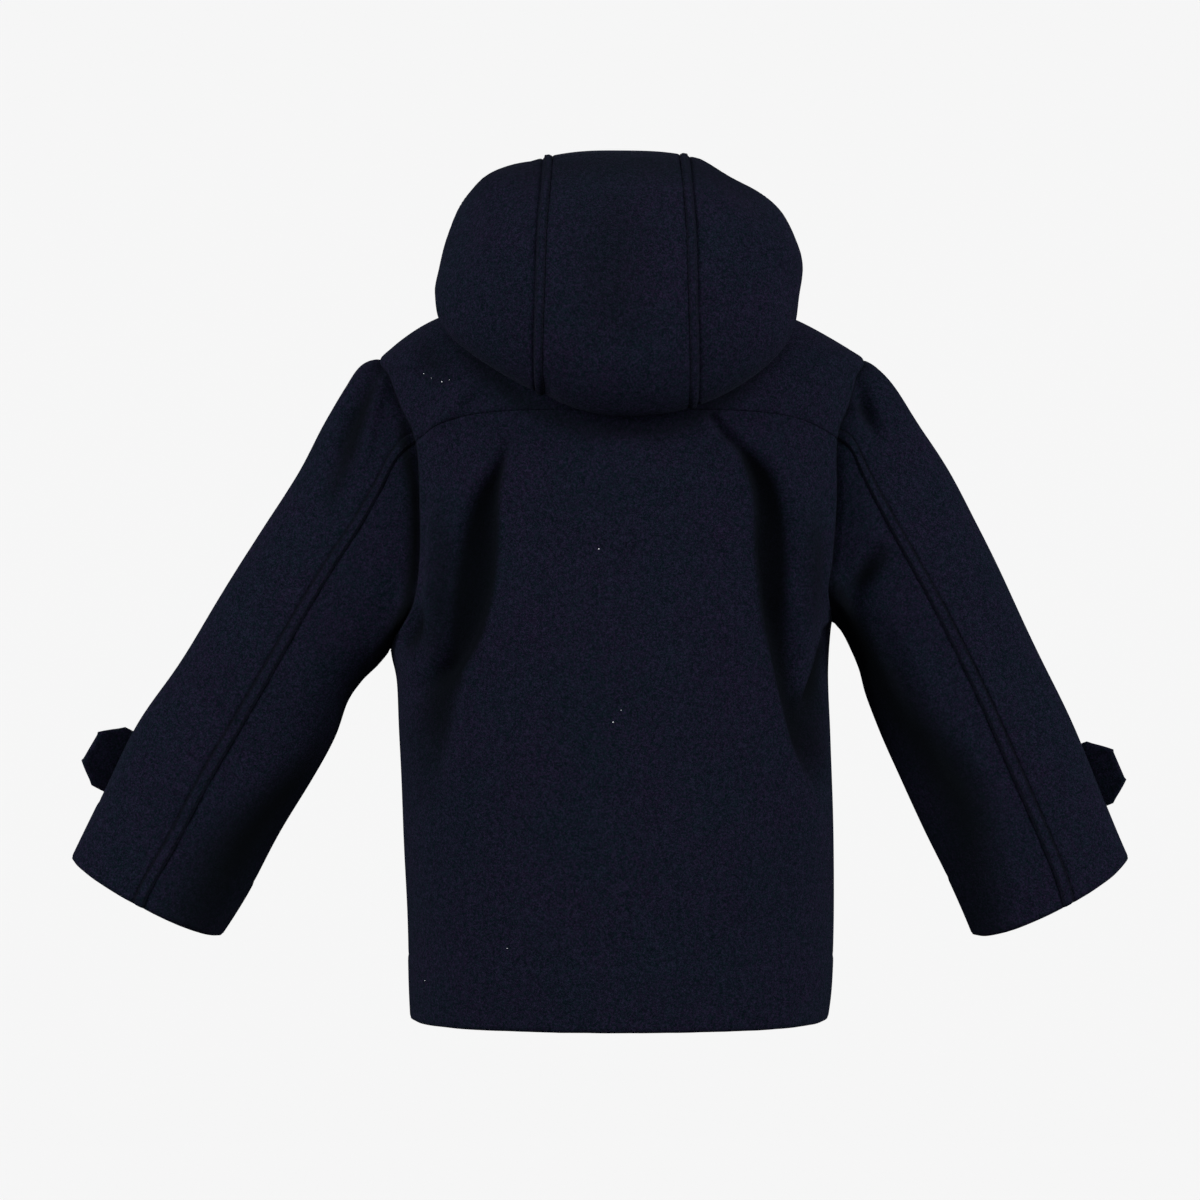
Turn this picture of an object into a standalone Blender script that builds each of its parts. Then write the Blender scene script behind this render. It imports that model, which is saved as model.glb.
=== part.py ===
"""A child's hooded wool coat, filled out with no wearer and held up at the neck.

Metres, +Z up. The back faces -Y, the buttoned front faces +Y and -X is the wearer's left.
The origin is the middle of the neck, 24 mm below the neck ends of the shoulder seams. Every panel is
a wall of cloth: a grid of points on the outer skin, worked out from short tables of sections, and the
same points set in by the cloth's thickness.
"""

import math

import bmesh
import bpy
import numpy as np
from mathutils import Vector
from mathutils.bvhtree import BVHTree

MM = 0.001

# Cloth
WALL = 2.5 * MM
SEAM_GAP = 0.3 * MM
STRIP_WIDTH = 7.0 * MM
STRIP_RISE = 0.8 * MM
STRIP_SLOPE = 1.2 * MM
STRIP_SHARE = 0.9
LAP_HALF = 24.0 * MM
LAP_MARGIN = 20.0 * MM
LAP_BLEND = 40.0 * MM
LAP_REST = 0.6 * MM
ROUNDNESS = 2.3
FRONT_DROP = 2.0
SHARP_EDGE = math.radians(40)

# Levels of the body's table: the row where each seam runs
UNDERARM = 6
YOKE_SEAM = 10
SHOULDER_TIP = 13
NECK = 15

# One row for each section of the body, from hem to neck, in millimetres. x is the half width at the
# side seam or armhole, a that of the whole section, b its depth, z the height at that place. drop says
# how late the section turns down to its edge.
BODY_COLUMNS = "z_left x_left a_left z_right x_right a_right z_back b_back z_front b_front drop".split()
BODY_ROWS = (
    (-476, 146.5, 146.5, -476, 146.0, 146.0, -476, 97.0, -476, 94.0, 2.0),
    (-452, 147.5, 147.5, -452, 148.5, 148.5, -452, 97.0, -452, 94.0, 2.0),
    (-400, 148.5, 148.5, -400, 149.3, 149.3, -400, 96.0, -400, 93.5, 2.0),
    (-340, 151.2, 151.2, -340, 148.8, 148.8, -340, 95.0, -340, 93.0, 2.0),
    (-280, 154.6, 154.6, -280, 147.0, 147.0, -280, 94.0, -280, 92.0, 2.0),
    (-242, 155.6, 155.6, -238, 145.0, 145.0, -239, 93.5, -239, 91.5, 2.0),
    (-219, 159.6, 159.6, -201, 147.5, 147.5, -209, 93.0, -209, 91.0, 2.0),
    (-191, 143.6, 157.0, -180, 143.2, 153.5, -184, 92.5, -186, 90.5, 2.0),
    (-158, 138.5, 152.0, -158, 146.3, 157.0, -156, 91.5, -162, 89.5, 2.0),
    (-117, 138.5, 151.5, -117, 149.1, 161.0, -107, 90.0, -128, 88.0, 3.0),
    (-76, 141.3, 154.0, -74, 149.7, 162.5, -56, 87.0, -100, 84.0, 6.0),
    (-51, 152.2, 161.0, -51, 158.0, 166.0, -44, 84.0, -88, 81.0, 4.0),
    (-31, 160.0, 164.5, -31, 163.9, 168.0, -36, 80.5, -78, 78.0, 3.0),
    (-15, 165.9, 165.9, -15, 167.3, 167.3, -27, 76.0, -68, 74.0, 2.0),
    (11, 128.0, 128.0, 11, 122.0, 122.0, -8, 65.0, -46, 66.0, 2.0),
    (24, 74.0, 74.0, 24, 74.0, 74.0, 12, 49.0, -24, 58.0, 2.0),
)
SKIRT_LEVELS = (0, 1, 1.5, 2, 2.5, 3, 3.5, 4, 4.5, 5)
ARMHOLE_LEVELS = (6, 6.2, 6.5, 7, 8, 8.5, 9, 9.5, YOKE_SEAM, 11, 12, 12.5, 13)
SHOULDER_LEVELS = (13.5, 14, 14.5, 15)
BACK_COLUMNS = 24
FRONT_COLUMNS = 11

# One row for each section of a sleeve, from the shoulder to the cuff: where its outer and its under
# edge lie, its depth behind and in front, how much it keeps the armhole's shape, and where the back
# seam runs, as a share of the way from outer to under edge. The first ring is the armhole itself.
SLEEVE_COLUMNS = "outer_x outer_z under_x under_z back front armhole seam".split()
LEFT_SLEEVE_ROWS = (
    (166, -15, 160, -219, 44, 44, 1.00, 0.36),
    (181, -20, 162, -221, 45, 45, 0.85, 0.58),
    (193, -37, 165, -225, 45, 45, 0.65, 0.56),
    (207, -62, 171, -232, 44, 44, 0.40, 0.53),
    (224, -96, 181, -242, 42, 42, 0.20, 0.51),
    (251, -138, 191, -257, 40, 40, 0.05, 0.51),
    (283, -188, 200, -282, 38, 38, 0.00, 0.505),
    (309, -230, 216, -312, 36, 36, 0.00, 0.505),
    (337, -272, 237, -348, 35, 35, 0.00, 0.51),
    (360, -318, 259, -388, 34, 34, 0.00, 0.51),
    (383, -365, 279, -419, 33, 33, 0.00, 0.505),
)
RIGHT_SLEEVE_ROWS = (
    (167, -15, 147, -201, 42, 42, 1.00, 0.36),
    (178, -22, 151, -203, 43, 43, 0.85, 0.48),
    (191, -36, 155, -207, 44, 44, 0.65, 0.53),
    (208, -62, 160, -216, 43, 43, 0.40, 0.51),
    (230, -96, 167, -233, 42, 42, 0.20, 0.50),
    (252, -138, 172, -253, 40, 40, 0.05, 0.48),
    (276, -188, 182, -279, 38, 38, 0.00, 0.47),
    (296, -230, 196, -309, 36, 36, 0.00, 0.47),
    (316, -272, 213, -346, 35, 35, 0.00, 0.475),
    (336, -320, 230, -381, 34, 34, 0.00, 0.475),
    (355, -365, 246, -419, 33, 33, 0.00, 0.475),
)
SLEEVE_LEVELS = (0, 0.5, 1, 1.5, 2, 3, 4, 5, 6, 7, 8, 9, 9.6, 10)
FRONT_SEAM_SHARE = 1.42
FRONT_SEAM_LEVEL = 8
CUFF_RIM_DROP = 7.5

# One arc of the hood for each row, from the face edge over the crown and the hanging pouch to the
# nape: the angle of its foot on the neck ring, its apex seen from the side, its half widths, how far
# down its widest place is, its lean to the right, half the width of the centre panel, and how square
# the arc is (2 is an ellipse, 1 a straight slant).
HOOD_COLUMNS = "foot apex_y apex_z left right waist lean strip square".split()
HOOD_ROWS = (
    (-72, -38, 124.5, 118, 113, 0.55, 0.00, 50, 2.5),
    (-54, -64, 118, 121, 118, 0.52, 0.00, 50, 2.45),
    (-37, -97, 96, 124, 123, 0.50, 0.00, 51, 2.3),
    (-22, -121, 62, 126, 126, 0.50, 0.00, 53, 2.2),
    (-9, -133, 22, 127, 123, 0.50, -0.01, 54, 2.0),
    (4, -134, -18, 123, 119, 0.50, -0.03, 55, 1.85),
    (16, -126, -48, 109, 110, 0.54, -0.05, 55, 1.75),
    (25, -111, -63, 86, 92, 0.56, -0.06, 54, 1.75),
    (33, -98, -55, 72, 74, 0.60, -0.04, 51, 1.9),
    (40, -88, -36, 62, 62, 0.66, -0.02, 47, 2.0),
    (46, -75, -13, 55, 55, 0.76, 0.00, 43, 2.1),
    (51, -61, 5, 49, 49, 0.88, 0.00, 39, 2.2),
    (56, -50.5, 14, 42.5, 42.5, 0.97, 0.00, 36, 2.3),
)
HOOD_LEVELS = (0, 0.4, 1, 1.5, 2, 2.5, 3, 3.5, 4, 4.5, 5, 5.5, 6, 6.5, 7, 7.5, 8, 9, 10, 11, 12)
HOOD_STRIP_COLUMNS = 6
HOOD_SIDE_COLUMNS = 10
ARC_UPPER_STEPS = 24
ARC_LOWER_STEPS = 16
HOOD_REST = 0.8 * MM
LIFT_REACH = 30.0 * MM
BODY_INSIDE = np.array((0, 0, -200)) * MM
HOOD_INSIDE = np.array((0, -75, 10)) * MM
INSIDE_BELOW = 60.0 * MM

# The main folds of the back, seen from behind: a trough from its top over a middle point to its end.
FOLD_COLUMNS = "x_top z_top x_mid z_mid x_end z_end depth half_width".split()
BACK_FOLDS = (
    (-74, -72, -97, -150, -130, -285, 11.0, 24),
    (64, -62, 107, -160, 130, -305, 11.0, 24),
    (140, -205, 132, -245, 124, -290, 5.0, 16),
)

# The folds fade in over the first share of their length and out over the last, and end this many
# columns before the side seams.
FOLD_FADE_IN = 0.25
FOLD_FADE_OUT = 0.35
FOLD_FREE_COLUMNS = 3

# Cuff tabs: a path from the front sleeve seam out past the sleeve's outer edge. out is measured from
# the sleeve's middle and forward from its middle plane, to the tab's inner face.
TAB_COLUMNS = "out forward half_width".split()
TAB_ROWS = (
    (-16, 35.2, 23),
    (-5, 35.6, 23),
    (6, 35.6, 23),
    (17, 35.0, 23),
    (28, 33.4, 23),
    (38, 31.0, 23),
    (47, 27.8, 23),
    (55, 24.2, 23),
    (62, 20.5, 23),
    (71, 16.5, 23),
    (84.5, 11.5, 11),
)
TAB_ACROSS = (-1.0, -0.5, 0.0, 0.5, 1.0)
TAB_THICKNESS = 3.0 * MM
TAB_LEVELS = {"left": 8.5, "right": 8.6}
TAB_DROP_ANGLES = {"left": 6.0, "right": 12.0}
TAB_REST = 0.9 * MM

# Buttons: a turned profile, as shares of the radius and of the thickness
BUTTON_PROFILE = ((0.0, 0.8), (0.6, 0.8), (0.72, 1.0), (0.94, 0.92), (1.0, 0.3), (0.9, 0.0), (0.0, 0.0))
BUTTON_THICKNESS = 4.0 * MM
BUTTON_SIDES = 16
BUTTON_REST = 0.5 * MM
FRONT_BUTTON_RADIUS = 11.0 * MM
FRONT_BUTTON_HEIGHTS = (-115, -190, -265, -340)
CUFF_BUTTON_RADIUS = 9.0 * MM
CUFF_BUTTON_ROW = 7
PLACING_STEPS = 300
PLACING_RISE = 10.0 * MM

WOOL_COLOUR = (0.0056, 0.0070, 0.0146, 1.0)
WOOL_ROUGHNESS = 0.95
BUTTON_COLOUR = (0.010, 0.011, 0.016, 1.0)
BUTTON_ROUGHNESS = 0.4


def clear_scene():
    for obj in list(bpy.data.objects):
        bpy.data.objects.remove(obj, do_unlink=True)


def material(name, colour, roughness):
    made = bpy.data.materials.new(name)
    made.use_nodes = True
    shader = made.node_tree.nodes["Principled BSDF"]
    shader.inputs["Base Color"].default_value = colour
    shader.inputs["Roughness"].default_value = roughness
    shader.inputs["Metallic"].default_value = 0.0
    made.diffuse_color = colour
    return made


def smooth_between(rows, level):
    """The table's row at a level between its rows, on a smooth curve through them."""
    rows = np.asarray(rows, float)
    last = len(rows) - 1
    index = min(int(level), last - 1)
    part = level - index
    before = rows[max(index - 1, 0)]
    here = rows[index]
    there = rows[index + 1]
    after = rows[min(index + 2, last)]
    slope_here = (there - before) / 2
    slope_there = (after - here) / 2
    squared = part * part
    cubed = squared * part
    return (
        (2 * cubed - 3 * squared + 1) * here
        + (cubed - 2 * squared + part) * slope_here
        + (3 * squared - 2 * cubed) * there
        + (cubed - squared) * slope_there
    )


def named_row(columns, rows, level):
    return dict(zip(columns, smooth_between(rows, level)))


def rounded(value, square=ROUNDNESS):
    """A cosine or sine turned into that of a slightly squared ellipse."""
    return math.copysign(abs(value) ** (2 / square), value)


def smooth_step(value):
    value = min(max(value, 0.0), 1.0)
    return value * value * (3 - 2 * value)


# Body


def edge_angle(row, side, level):
    """Where the section is cut by the armhole, in degrees from the side; 0 at a seam."""
    if level <= UNDERARM or level >= SHOULDER_TIP:
        return 0.0
    share = min(row["x_" + side] / row["a_" + side], 1.0)
    return math.degrees(math.acos(share ** (ROUNDNESS / 2)))


def section_point(row, angle):
    """A point of a body section: 0 degrees is its left side, 90 the back, 180 the right, 270 the front."""
    cosine = math.cos(math.radians(angle))
    sine = math.sin(math.radians(angle))
    side = "left" if cosine > 0 else "right"
    face = "back" if sine > 0 else "front"
    x = -row["a_" + side] * rounded(cosine)
    y = -row["b_" + face] * rounded(sine)
    drop = row["drop"] if face == "back" else FRONT_DROP
    lean = min(abs(x) / row["x_" + side], 1.0) ** drop
    z = row["z_" + face] + (row["z_" + side] - row["z_" + face]) * lean
    return np.array((x, y, z)) * MM


def body_grid(levels, angles_of):
    """A grid of points on the body: a row for each level, a column for each angle."""
    grid = []
    for level in levels:
        row = named_row(BODY_COLUMNS, BODY_ROWS, level)
        grid.append([section_point(row, angle) for angle in angles_of(row, level)])
    return np.array(grid)


def back_angles(row, level):
    left = edge_angle(row, "left", level)
    right = 180 - edge_angle(row, "right", level)
    return np.linspace(left, right, BACK_COLUMNS + 1)


def lap_angle(row, past):
    """How far past the centre front a panel reaches, in degrees."""
    side = "right" if past > 0 else "left"
    share = min(abs(past) / (row["a_" + side] * MM), 1.0)
    return math.degrees(math.asin(share ** (ROUNDNESS / 2)))


def front_left_angles(row, level):
    lap = -90 - lap_angle(row, LAP_HALF)
    return np.linspace(lap, -edge_angle(row, "left", level), FRONT_COLUMNS + 1)


def front_right_angles(row, level):
    lap = 270 + lap_angle(row, -LAP_HALF)
    return np.linspace(180 + edge_angle(row, "right", level), lap, FRONT_COLUMNS + 1)


def trough(point, fold):
    """How deep a fold is at a point of the back, in metres."""
    top = np.array((fold["x_top"], fold["z_top"]))
    middle = np.array((fold["x_mid"], fold["z_mid"]))
    end = np.array((fold["x_end"], fold["z_end"]))
    place = np.array((point[0], point[2])) / MM
    deepest = 0.0
    for start, stop, first in ((top, middle, 0.0), (middle, end, 0.5)):
        along = np.dot(place - start, stop - start) / np.dot(stop - start, stop - start)
        nearest = start + (stop - start) * min(max(along, 0.0), 1.0)
        across = np.linalg.norm(place - nearest) / fold["half_width"]
        if across >= 1:
            continue
        length = first + 0.5 * min(max(along, 0.0), 1.0)
        taper = smooth_step(length / FOLD_FADE_IN) * smooth_step((1 - length) / FOLD_FADE_OUT)
        deepest = max(deepest, taper * (1 - smooth_step(across)))
    return deepest * fold["depth"] * MM


def press_back_folds(grid):
    """Presses the folds in, fading out at the side seams, which stay on those of the front."""
    last = grid.shape[1] - 1
    for values in BACK_FOLDS:
        fold = dict(zip(FOLD_COLUMNS, values))
        for row in grid:
            for column, point in enumerate(row):
                fade = smooth_step(min(column, last - column) / FOLD_FREE_COLUMNS)
                point[1] += fade * trough(point, fold)
    return grid


def body_patches():
    levels = SKIRT_LEVELS + ARMHOLE_LEVELS + SHOULDER_LEVELS
    seam = levels.index(YOKE_SEAM)
    back = press_back_folds(body_grid(levels, back_angles))
    return {
        "back_body": back[: seam + 1],
        "back_yoke": back[seam:],
        "front_left": body_grid(levels, front_left_angles),
        "front_right": body_grid(levels, front_right_angles),
    }


# Sleeves


def armhole_edges(patches, side):
    """The armhole's points on the back and on the front, from the shoulder tip to the underarm."""
    back = np.concatenate([patches["back_body"][:-1], patches["back_yoke"]])
    front = patches["front_" + side]
    first = len(SKIRT_LEVELS)
    last = first + len(ARMHOLE_LEVELS)
    back_column = 0 if side == "left" else -1
    front_column = -1 if side == "left" else 0
    return back[first:last, back_column][::-1], front[first:last, front_column][::-1]


def shares_along(points):
    steps = np.linalg.norm(np.diff(points, axis=0), axis=1)
    run = np.concatenate([[0.0], np.cumsum(steps)])
    return run / run[-1]


def chord(row, side):
    """The middle of a sleeve section, and the way from there to its outer edge."""
    outward = -1 if side == "left" else 1
    outer = np.array((outward * row["outer_x"], 0.0, row["outer_z"])) * MM
    under = np.array((outward * row["under_x"], 0.0, row["under_z"])) * MM
    return (outer + under) / 2, (outer - under) / 2


def square_to(half):
    """The way square to a section's chord, in the coat's own plane."""
    turned = np.array((half[2], 0.0, -half[0]))
    return turned / np.linalg.norm(turned)


def sleeve_section_point(row, side, share):
    """A point of a sleeve section: 0 is its outer edge, 0.5 behind, 1 its under edge, 1.5 in front."""
    middle, half = chord(row, side)
    cosine = rounded(math.cos(math.pi * share))
    sine = rounded(math.sin(math.pi * share))
    depth = row["back"] if sine > 0 else row["front"]
    return middle + half * cosine + np.array((0.0, -depth * sine * MM, 0.0))


def carried_point(point, first_row, row, side):
    """A point of the armhole, carried to the same place of a later section."""
    middle, half = chord(first_row, side)
    new_middle, new_half = chord(row, side)
    offset = point - middle
    share = np.dot(offset, half) / np.dot(half, half)
    bow = np.dot(offset, square_to(half))
    carried = new_middle + new_half * share + square_to(new_half) * bow
    carried[1] = point[1] * row["back"] / first_row["back"]
    return carried


def sleeve_grid(side, rows, first_ring, column_shares):
    """Rings from the armhole to the cuff. column_shares gives each column's share for a table row."""
    first_row = dict(zip(SLEEVE_COLUMNS, rows[0]))
    rings = [first_ring]
    for values in rows[1:]:
        row = dict(zip(SLEEVE_COLUMNS, values))
        ring = []
        for point, share in zip(first_ring, column_shares(row)):
            plain = sleeve_section_point(row, side, share)
            carried = carried_point(point, first_row, row, side)
            ring.append(plain + (carried - plain) * row["armhole"])
        rings.append(ring)
    rings = np.array(rings)
    grid = np.array([smooth_between(rings, level) for level in SLEEVE_LEVELS])
    drop_rear_rim(grid, rows)
    return grid


def drop_rear_rim(grid, rows):
    """The cuff's rear rim hangs slightly lower than its outer and under edges."""
    last = dict(zip(SLEEVE_COLUMNS, rows[-1]))
    for point in grid[-1]:
        behind = max(-point[1] / (last["back"] * MM), 0.0)
        point[2] -= CUFF_RIM_DROP * MM * behind**2


def sleeve_patches(side, rows, patches):
    back, front = armhole_edges(patches, side)
    levels = ARMHOLE_LEVELS[::-1]
    seam = levels.index(YOKE_SEAM)
    front_seam = levels.index(FRONT_SEAM_LEVEL)
    back_upper = shares_along(back[: seam + 1])
    back_under = shares_along(back[seam:])
    front_upper = shares_along(front[: front_seam + 1])
    front_under = shares_along(front[front_seam:])

    def upper_shares(row):
        behind = row["seam"] * back_upper[::-1]
        before = 2 - (2 - FRONT_SEAM_SHARE) * front_upper
        return np.concatenate([behind, before[1:]])

    def under_shares(row):
        before = FRONT_SEAM_SHARE - (FRONT_SEAM_SHARE - 1) * front_under
        behind = row["seam"] + (1 - row["seam"]) * back_under[::-1]
        return np.concatenate([before, behind[1:]])

    upper_ring = np.concatenate([back[: seam + 1][::-1], front[1 : front_seam + 1]])
    under_ring = np.concatenate([front[front_seam:], back[seam:-1][::-1]])
    return {
        "sleeve_upper_" + side: sleeve_grid(side, rows, upper_ring, upper_shares),
        "sleeve_under_" + side: sleeve_grid(side, rows, under_ring, under_shares),
    }


# Hood


def neck_point(angle):
    row = named_row(BODY_COLUMNS, BODY_ROWS, NECK)
    return section_point(row, angle) + np.array((0, 0, HOOD_REST))


def hood_arc(row, side):
    """Points of one half arc, from the apex out to the widest place and in to its foot."""
    mirror = -1 if side == "left" else 1
    foot_angle = row["foot"] if side == "left" else 180 - row["foot"]
    foot = neck_point(foot_angle)
    apex = np.array((0.0, row["apex_y"], row["apex_z"])) * MM
    half = row[side] * MM
    waist = apex + (foot - apex) * row["waist"]
    waist[0] = 0
    points = []
    for angle in np.linspace(0, math.pi / 2, ARC_UPPER_STEPS + 1):
        point = apex + (waist - apex) * (1 - rounded(math.cos(angle), row["square"]))
        point[0] = mirror * half * rounded(math.sin(angle), row["square"])
        points.append(point)
    for angle in np.linspace(0, math.pi / 2, ARC_LOWER_STEPS + 1)[1:]:
        point = waist + (foot - waist) * math.sin(angle)
        point[0] = foot[0] + (mirror * half - foot[0]) * math.cos(angle)
        points.append(point)
    points = np.array(points)
    fade = 1 - shares_along(points)
    points[:, 2] += row["lean"] * points[:, 0] * fade
    return points


def along(points, start, stop, count):
    """Points evenly spaced on a line of points, between two lengths measured along it."""
    steps = np.linalg.norm(np.diff(points, axis=0), axis=1)
    run = np.concatenate([[0.0], np.cumsum(steps)])
    places = np.linspace(start, run[-1] if stop is None else stop, count + 1)
    return np.stack([np.interp(places, run, points[:, axis]) for axis in range(3)], axis=1)


def seam_length(points, half_width):
    """How far along an arc the centre panel's seam lies."""
    steps = np.linalg.norm(np.diff(points, axis=0), axis=1)
    run = np.concatenate([[0.0], np.cumsum(steps)])
    widest = int(np.argmax(np.abs(points[:, 0])))
    return float(np.interp(half_width, np.abs(points[: widest + 1, 0]), run[: widest + 1]))


def hood_patches():
    centre = []
    left = []
    right = []
    for level in HOOD_LEVELS:
        row = named_row(HOOD_COLUMNS, HOOD_ROWS, level)
        arcs = {side: hood_arc(row, side) for side in ("left", "right")}
        seams = {side: seam_length(arc, row["strip"] * MM) for side, arc in arcs.items()}
        half = HOOD_STRIP_COLUMNS // 2
        to_left = along(arcs["left"], 0.0, seams["left"], half)
        to_right = along(arcs["right"], 0.0, seams["right"], half)
        centre.append(np.concatenate([to_left[::-1], to_right[1:]]))
        left.append(along(arcs["left"], seams["left"], None, HOOD_SIDE_COLUMNS)[::-1])
        right.append(along(arcs["right"], seams["right"], None, HOOD_SIDE_COLUMNS))
    return {
        "hood_centre": np.array(centre),
        "hood_side_left": np.array(left),
        "hood_side_right": np.array(right),
    }


# Cloth walls


def face_normals(grid):
    across = grid[1:, 1:] - grid[:-1, :-1]
    back_across = grid[1:, :-1] - grid[:-1, 1:]
    return np.cross(across, back_across)


def outward_sign(grid, inside):
    middles = (grid[1:, 1:] + grid[:-1, :-1]) / 2
    return 1.0 if (face_normals(grid) * (middles - inside)).sum() > 0 else -1.0


def corner_key(point):
    return tuple(int(round(value * 1e6)) for value in point)


def point_normals(patches, insides):
    """The outward normal at every point of some grids, by the point's place."""
    sums = {}
    for name, grid in patches.items():
        normals = face_normals(grid) * outward_sign(grid, insides[name])
        for i in range(normals.shape[0]):
            for j in range(normals.shape[1]):
                for point in (grid[i, j], grid[i + 1, j], grid[i, j + 1], grid[i + 1, j + 1]):
                    key = corner_key(point)
                    sums[key] = sums.get(key, 0) + normals[i, j]
    return {key: total / np.linalg.norm(total) for key, total in sums.items()}


def shared_normals(groups, insides):
    """Outward normals for each panel; where groups of panels meet, both take the way halfway between."""
    totals = {}
    for patches in groups:
        for key, normal in point_normals(patches, insides).items():
            totals[key] = totals.get(key, 0) + normal
    found = {}
    for patches in groups:
        for name, grid in patches.items():
            normals = np.array([[totals[corner_key(point)] for point in row] for row in grid])
            found[name] = normals / np.linalg.norm(normals, axis=2, keepdims=True)
    return found


def with_strip(grid, normals, rise, at_end):
    """The same grids with three more columns beside one edge, where a raised strip runs."""
    if at_end:
        grid, normals, rise = with_strip(grid[:, ::-1], normals[:, ::-1], rise[:, ::-1], False)
        return grid[:, ::-1], normals[:, ::-1], rise[:, ::-1]
    step = grid[:, 1] - grid[:, 0]
    width = np.linalg.norm(step, axis=1, keepdims=True)
    heights = ((STRIP_SLOPE, STRIP_RISE), (STRIP_WIDTH - STRIP_SLOPE, STRIP_RISE), (STRIP_WIDTH, 0.0))
    points = [grid[:, 0]]
    turned = [normals[:, 0]]
    risen = [rise[:, 0]]
    for distance, height in heights:
        share = np.minimum(distance / width, STRIP_SHARE * distance / STRIP_WIDTH)
        points.append(grid[:, 0] + step * share)
        mixed = normals[:, 0] * (1 - share) + normals[:, 1] * share
        turned.append(mixed / np.linalg.norm(mixed, axis=1, keepdims=True))
        risen.append(np.full(len(grid), height))
    grid = np.concatenate([np.stack(points, axis=1), grid[:, 1:]], axis=1)
    normals = np.concatenate([np.stack(turned, axis=1), normals[:, 1:]], axis=1)
    rise = np.concatenate([np.stack(risen, axis=1), rise[:, 1:]], axis=1)
    return grid, normals, rise


def inward_steps(border, inner, normals):
    """For each point of one edge, the way into the panel, square to the edge and along the cloth."""
    ahead = np.concatenate([border[1:], border[-1:]])
    behind = np.concatenate([border[:1], border[:-1]])
    steps = np.cross(normals, ahead - behind)
    steps /= np.linalg.norm(steps, axis=1, keepdims=True)
    sides = np.sign((steps * (inner - border)).sum(axis=1, keepdims=True))
    return steps * sides


def trim(grid, normals):
    """How far each point moves so that the panel ends half a seam gap before its edges."""
    moves = np.zeros_like(grid)
    for border, inner in ((0, 1), (-1, -2)):
        moves[border] += inward_steps(grid[border], grid[inner], normals[border])
        moves[:, border] += inward_steps(grid[:, border], grid[:, inner], normals[:, border])
    for i, next_i in ((0, 1), (-1, -2)):
        for j, next_j in ((0, 1), (-1, -2)):
            down = grid[next_i, j] - grid[i, j]
            across = grid[i, next_j] - grid[i, j]
            moves[i, j] = down / np.linalg.norm(down) + across / np.linalg.norm(across)
    return moves * SEAM_GAP / 2


def solid_from_skins(name, outer, inner, flipped, surface):
    """A closed solid between two grids of the same size, with each cell cut along its shorter way."""
    rows, columns = outer.shape[:2]
    mesh = bmesh.new()
    skins = [[[mesh.verts.new(point) for point in row] for row in skin] for skin in (outer, inner)]

    def face(*corners):
        mesh.faces.new(corners if not flipped else corners[::-1])

    for i in range(rows - 1):
        for j in range(columns - 1):
            corners = ((i, j), (i, j + 1), (i + 1, j + 1), (i + 1, j))
            falling = np.linalg.norm(outer[i, j] - outer[i + 1, j + 1])
            rising = np.linalg.norm(outer[i, j + 1] - outer[i + 1, j])
            first = 0 if falling < rising else 1
            for steps in ((0, 1, 2), (0, 2, 3)):
                places = [corners[(first + step) % 4] for step in steps]
                face(*(skins[0][row][column] for row, column in places))
                face(*(skins[1][row][column] for row, column in reversed(places)))
    rim = [(0, j) for j in range(columns - 1)]
    rim += [(i, columns - 1) for i in range(rows - 1)]
    rim += [(rows - 1, j) for j in range(columns - 1, 0, -1)]
    rim += [(i, 0) for i in range(rows - 1, 0, -1)]
    for (i, j), (k, m) in zip(rim, rim[1:] + rim[:1]):
        face(skins[1][i][j], skins[1][k][m], skins[0][k][m], skins[0][i][j])
    data = bpy.data.meshes.new(name)
    mesh.to_mesh(data)
    mesh.free()
    data.materials.append(surface)
    data.shade_smooth()
    data.set_sharp_from_angle(angle=SHARP_EDGE)
    obj = bpy.data.objects.new(name, data)
    bpy.context.collection.objects.link(obj)
    return obj


def skin_tree(grids):
    """A search tree over the outer skins of some panels."""
    points = []
    faces = []
    for grid in grids:
        rows, columns = grid.shape[:2]
        start = len(points)
        points.extend(Vector(point) for point in grid.reshape(-1, 3))
        for i in range(rows - 1):
            for j in range(columns - 1):
                corner = start + i * columns + j
                faces.append((corner, corner + 1, corner + columns + 1, corner + columns))
    return BVHTree.FromPolygons(points, faces)


def lift_clear(grid, tree, inside, clearance):
    """Moves each point that is nearer than the clearance, or sunk in, out of the skin below it."""
    for point in grid.reshape(-1, 3):
        found, normal, _, distance = tree.find_nearest(Vector(point))
        away = np.array(normal)
        if np.dot(away, np.array(found) - inside(point)) < 0:
            away = -away
        height = np.dot(point - np.array(found), away)
        if distance < LIFT_REACH and height < clearance:
            point += away * (clearance - height)
    return grid


def body_inside(point):
    """A place inside the body, on its upright middle line and lower than the point."""
    return np.array((0.0, 0.0, point[2] - INSIDE_BELOW))


def strips_of(name):
    """Whether a raised strip runs beside a panel's first and last columns."""
    if name == "hood_centre":
        return True, True
    return name.startswith("sleeve_upper"), False


def front_lap_rise(grid):
    """How far the upper front stands off, so that it lies over the lower one at the centre."""
    past = (grid[:, :, 0] + LAP_HALF + LAP_MARGIN + LAP_BLEND) / LAP_BLEND
    return np.vectorize(smooth_step)(past) * (WALL + LAP_REST)


def cloth_panel(name, grid, normals, inside, surface):
    rise = np.zeros(grid.shape[:2])
    first, last = strips_of(name)
    if first:
        grid, normals, rise = with_strip(grid, normals, rise, False)
    if last:
        grid, normals, rise = with_strip(grid, normals, rise, True)
    moves = trim(grid, normals)
    if name.startswith("sleeve"):
        moves[0, :, 0] += SEAM_GAP * (-1 if name.endswith("left") else 1)
    base = grid + moves
    outer = base + normals * rise[:, :, None]
    inner = base - normals * WALL
    flipped = outward_sign(grid, inside) < 0
    return solid_from_skins(name, outer, inner, flipped, surface)


# Cuff tabs and buttons


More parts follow.
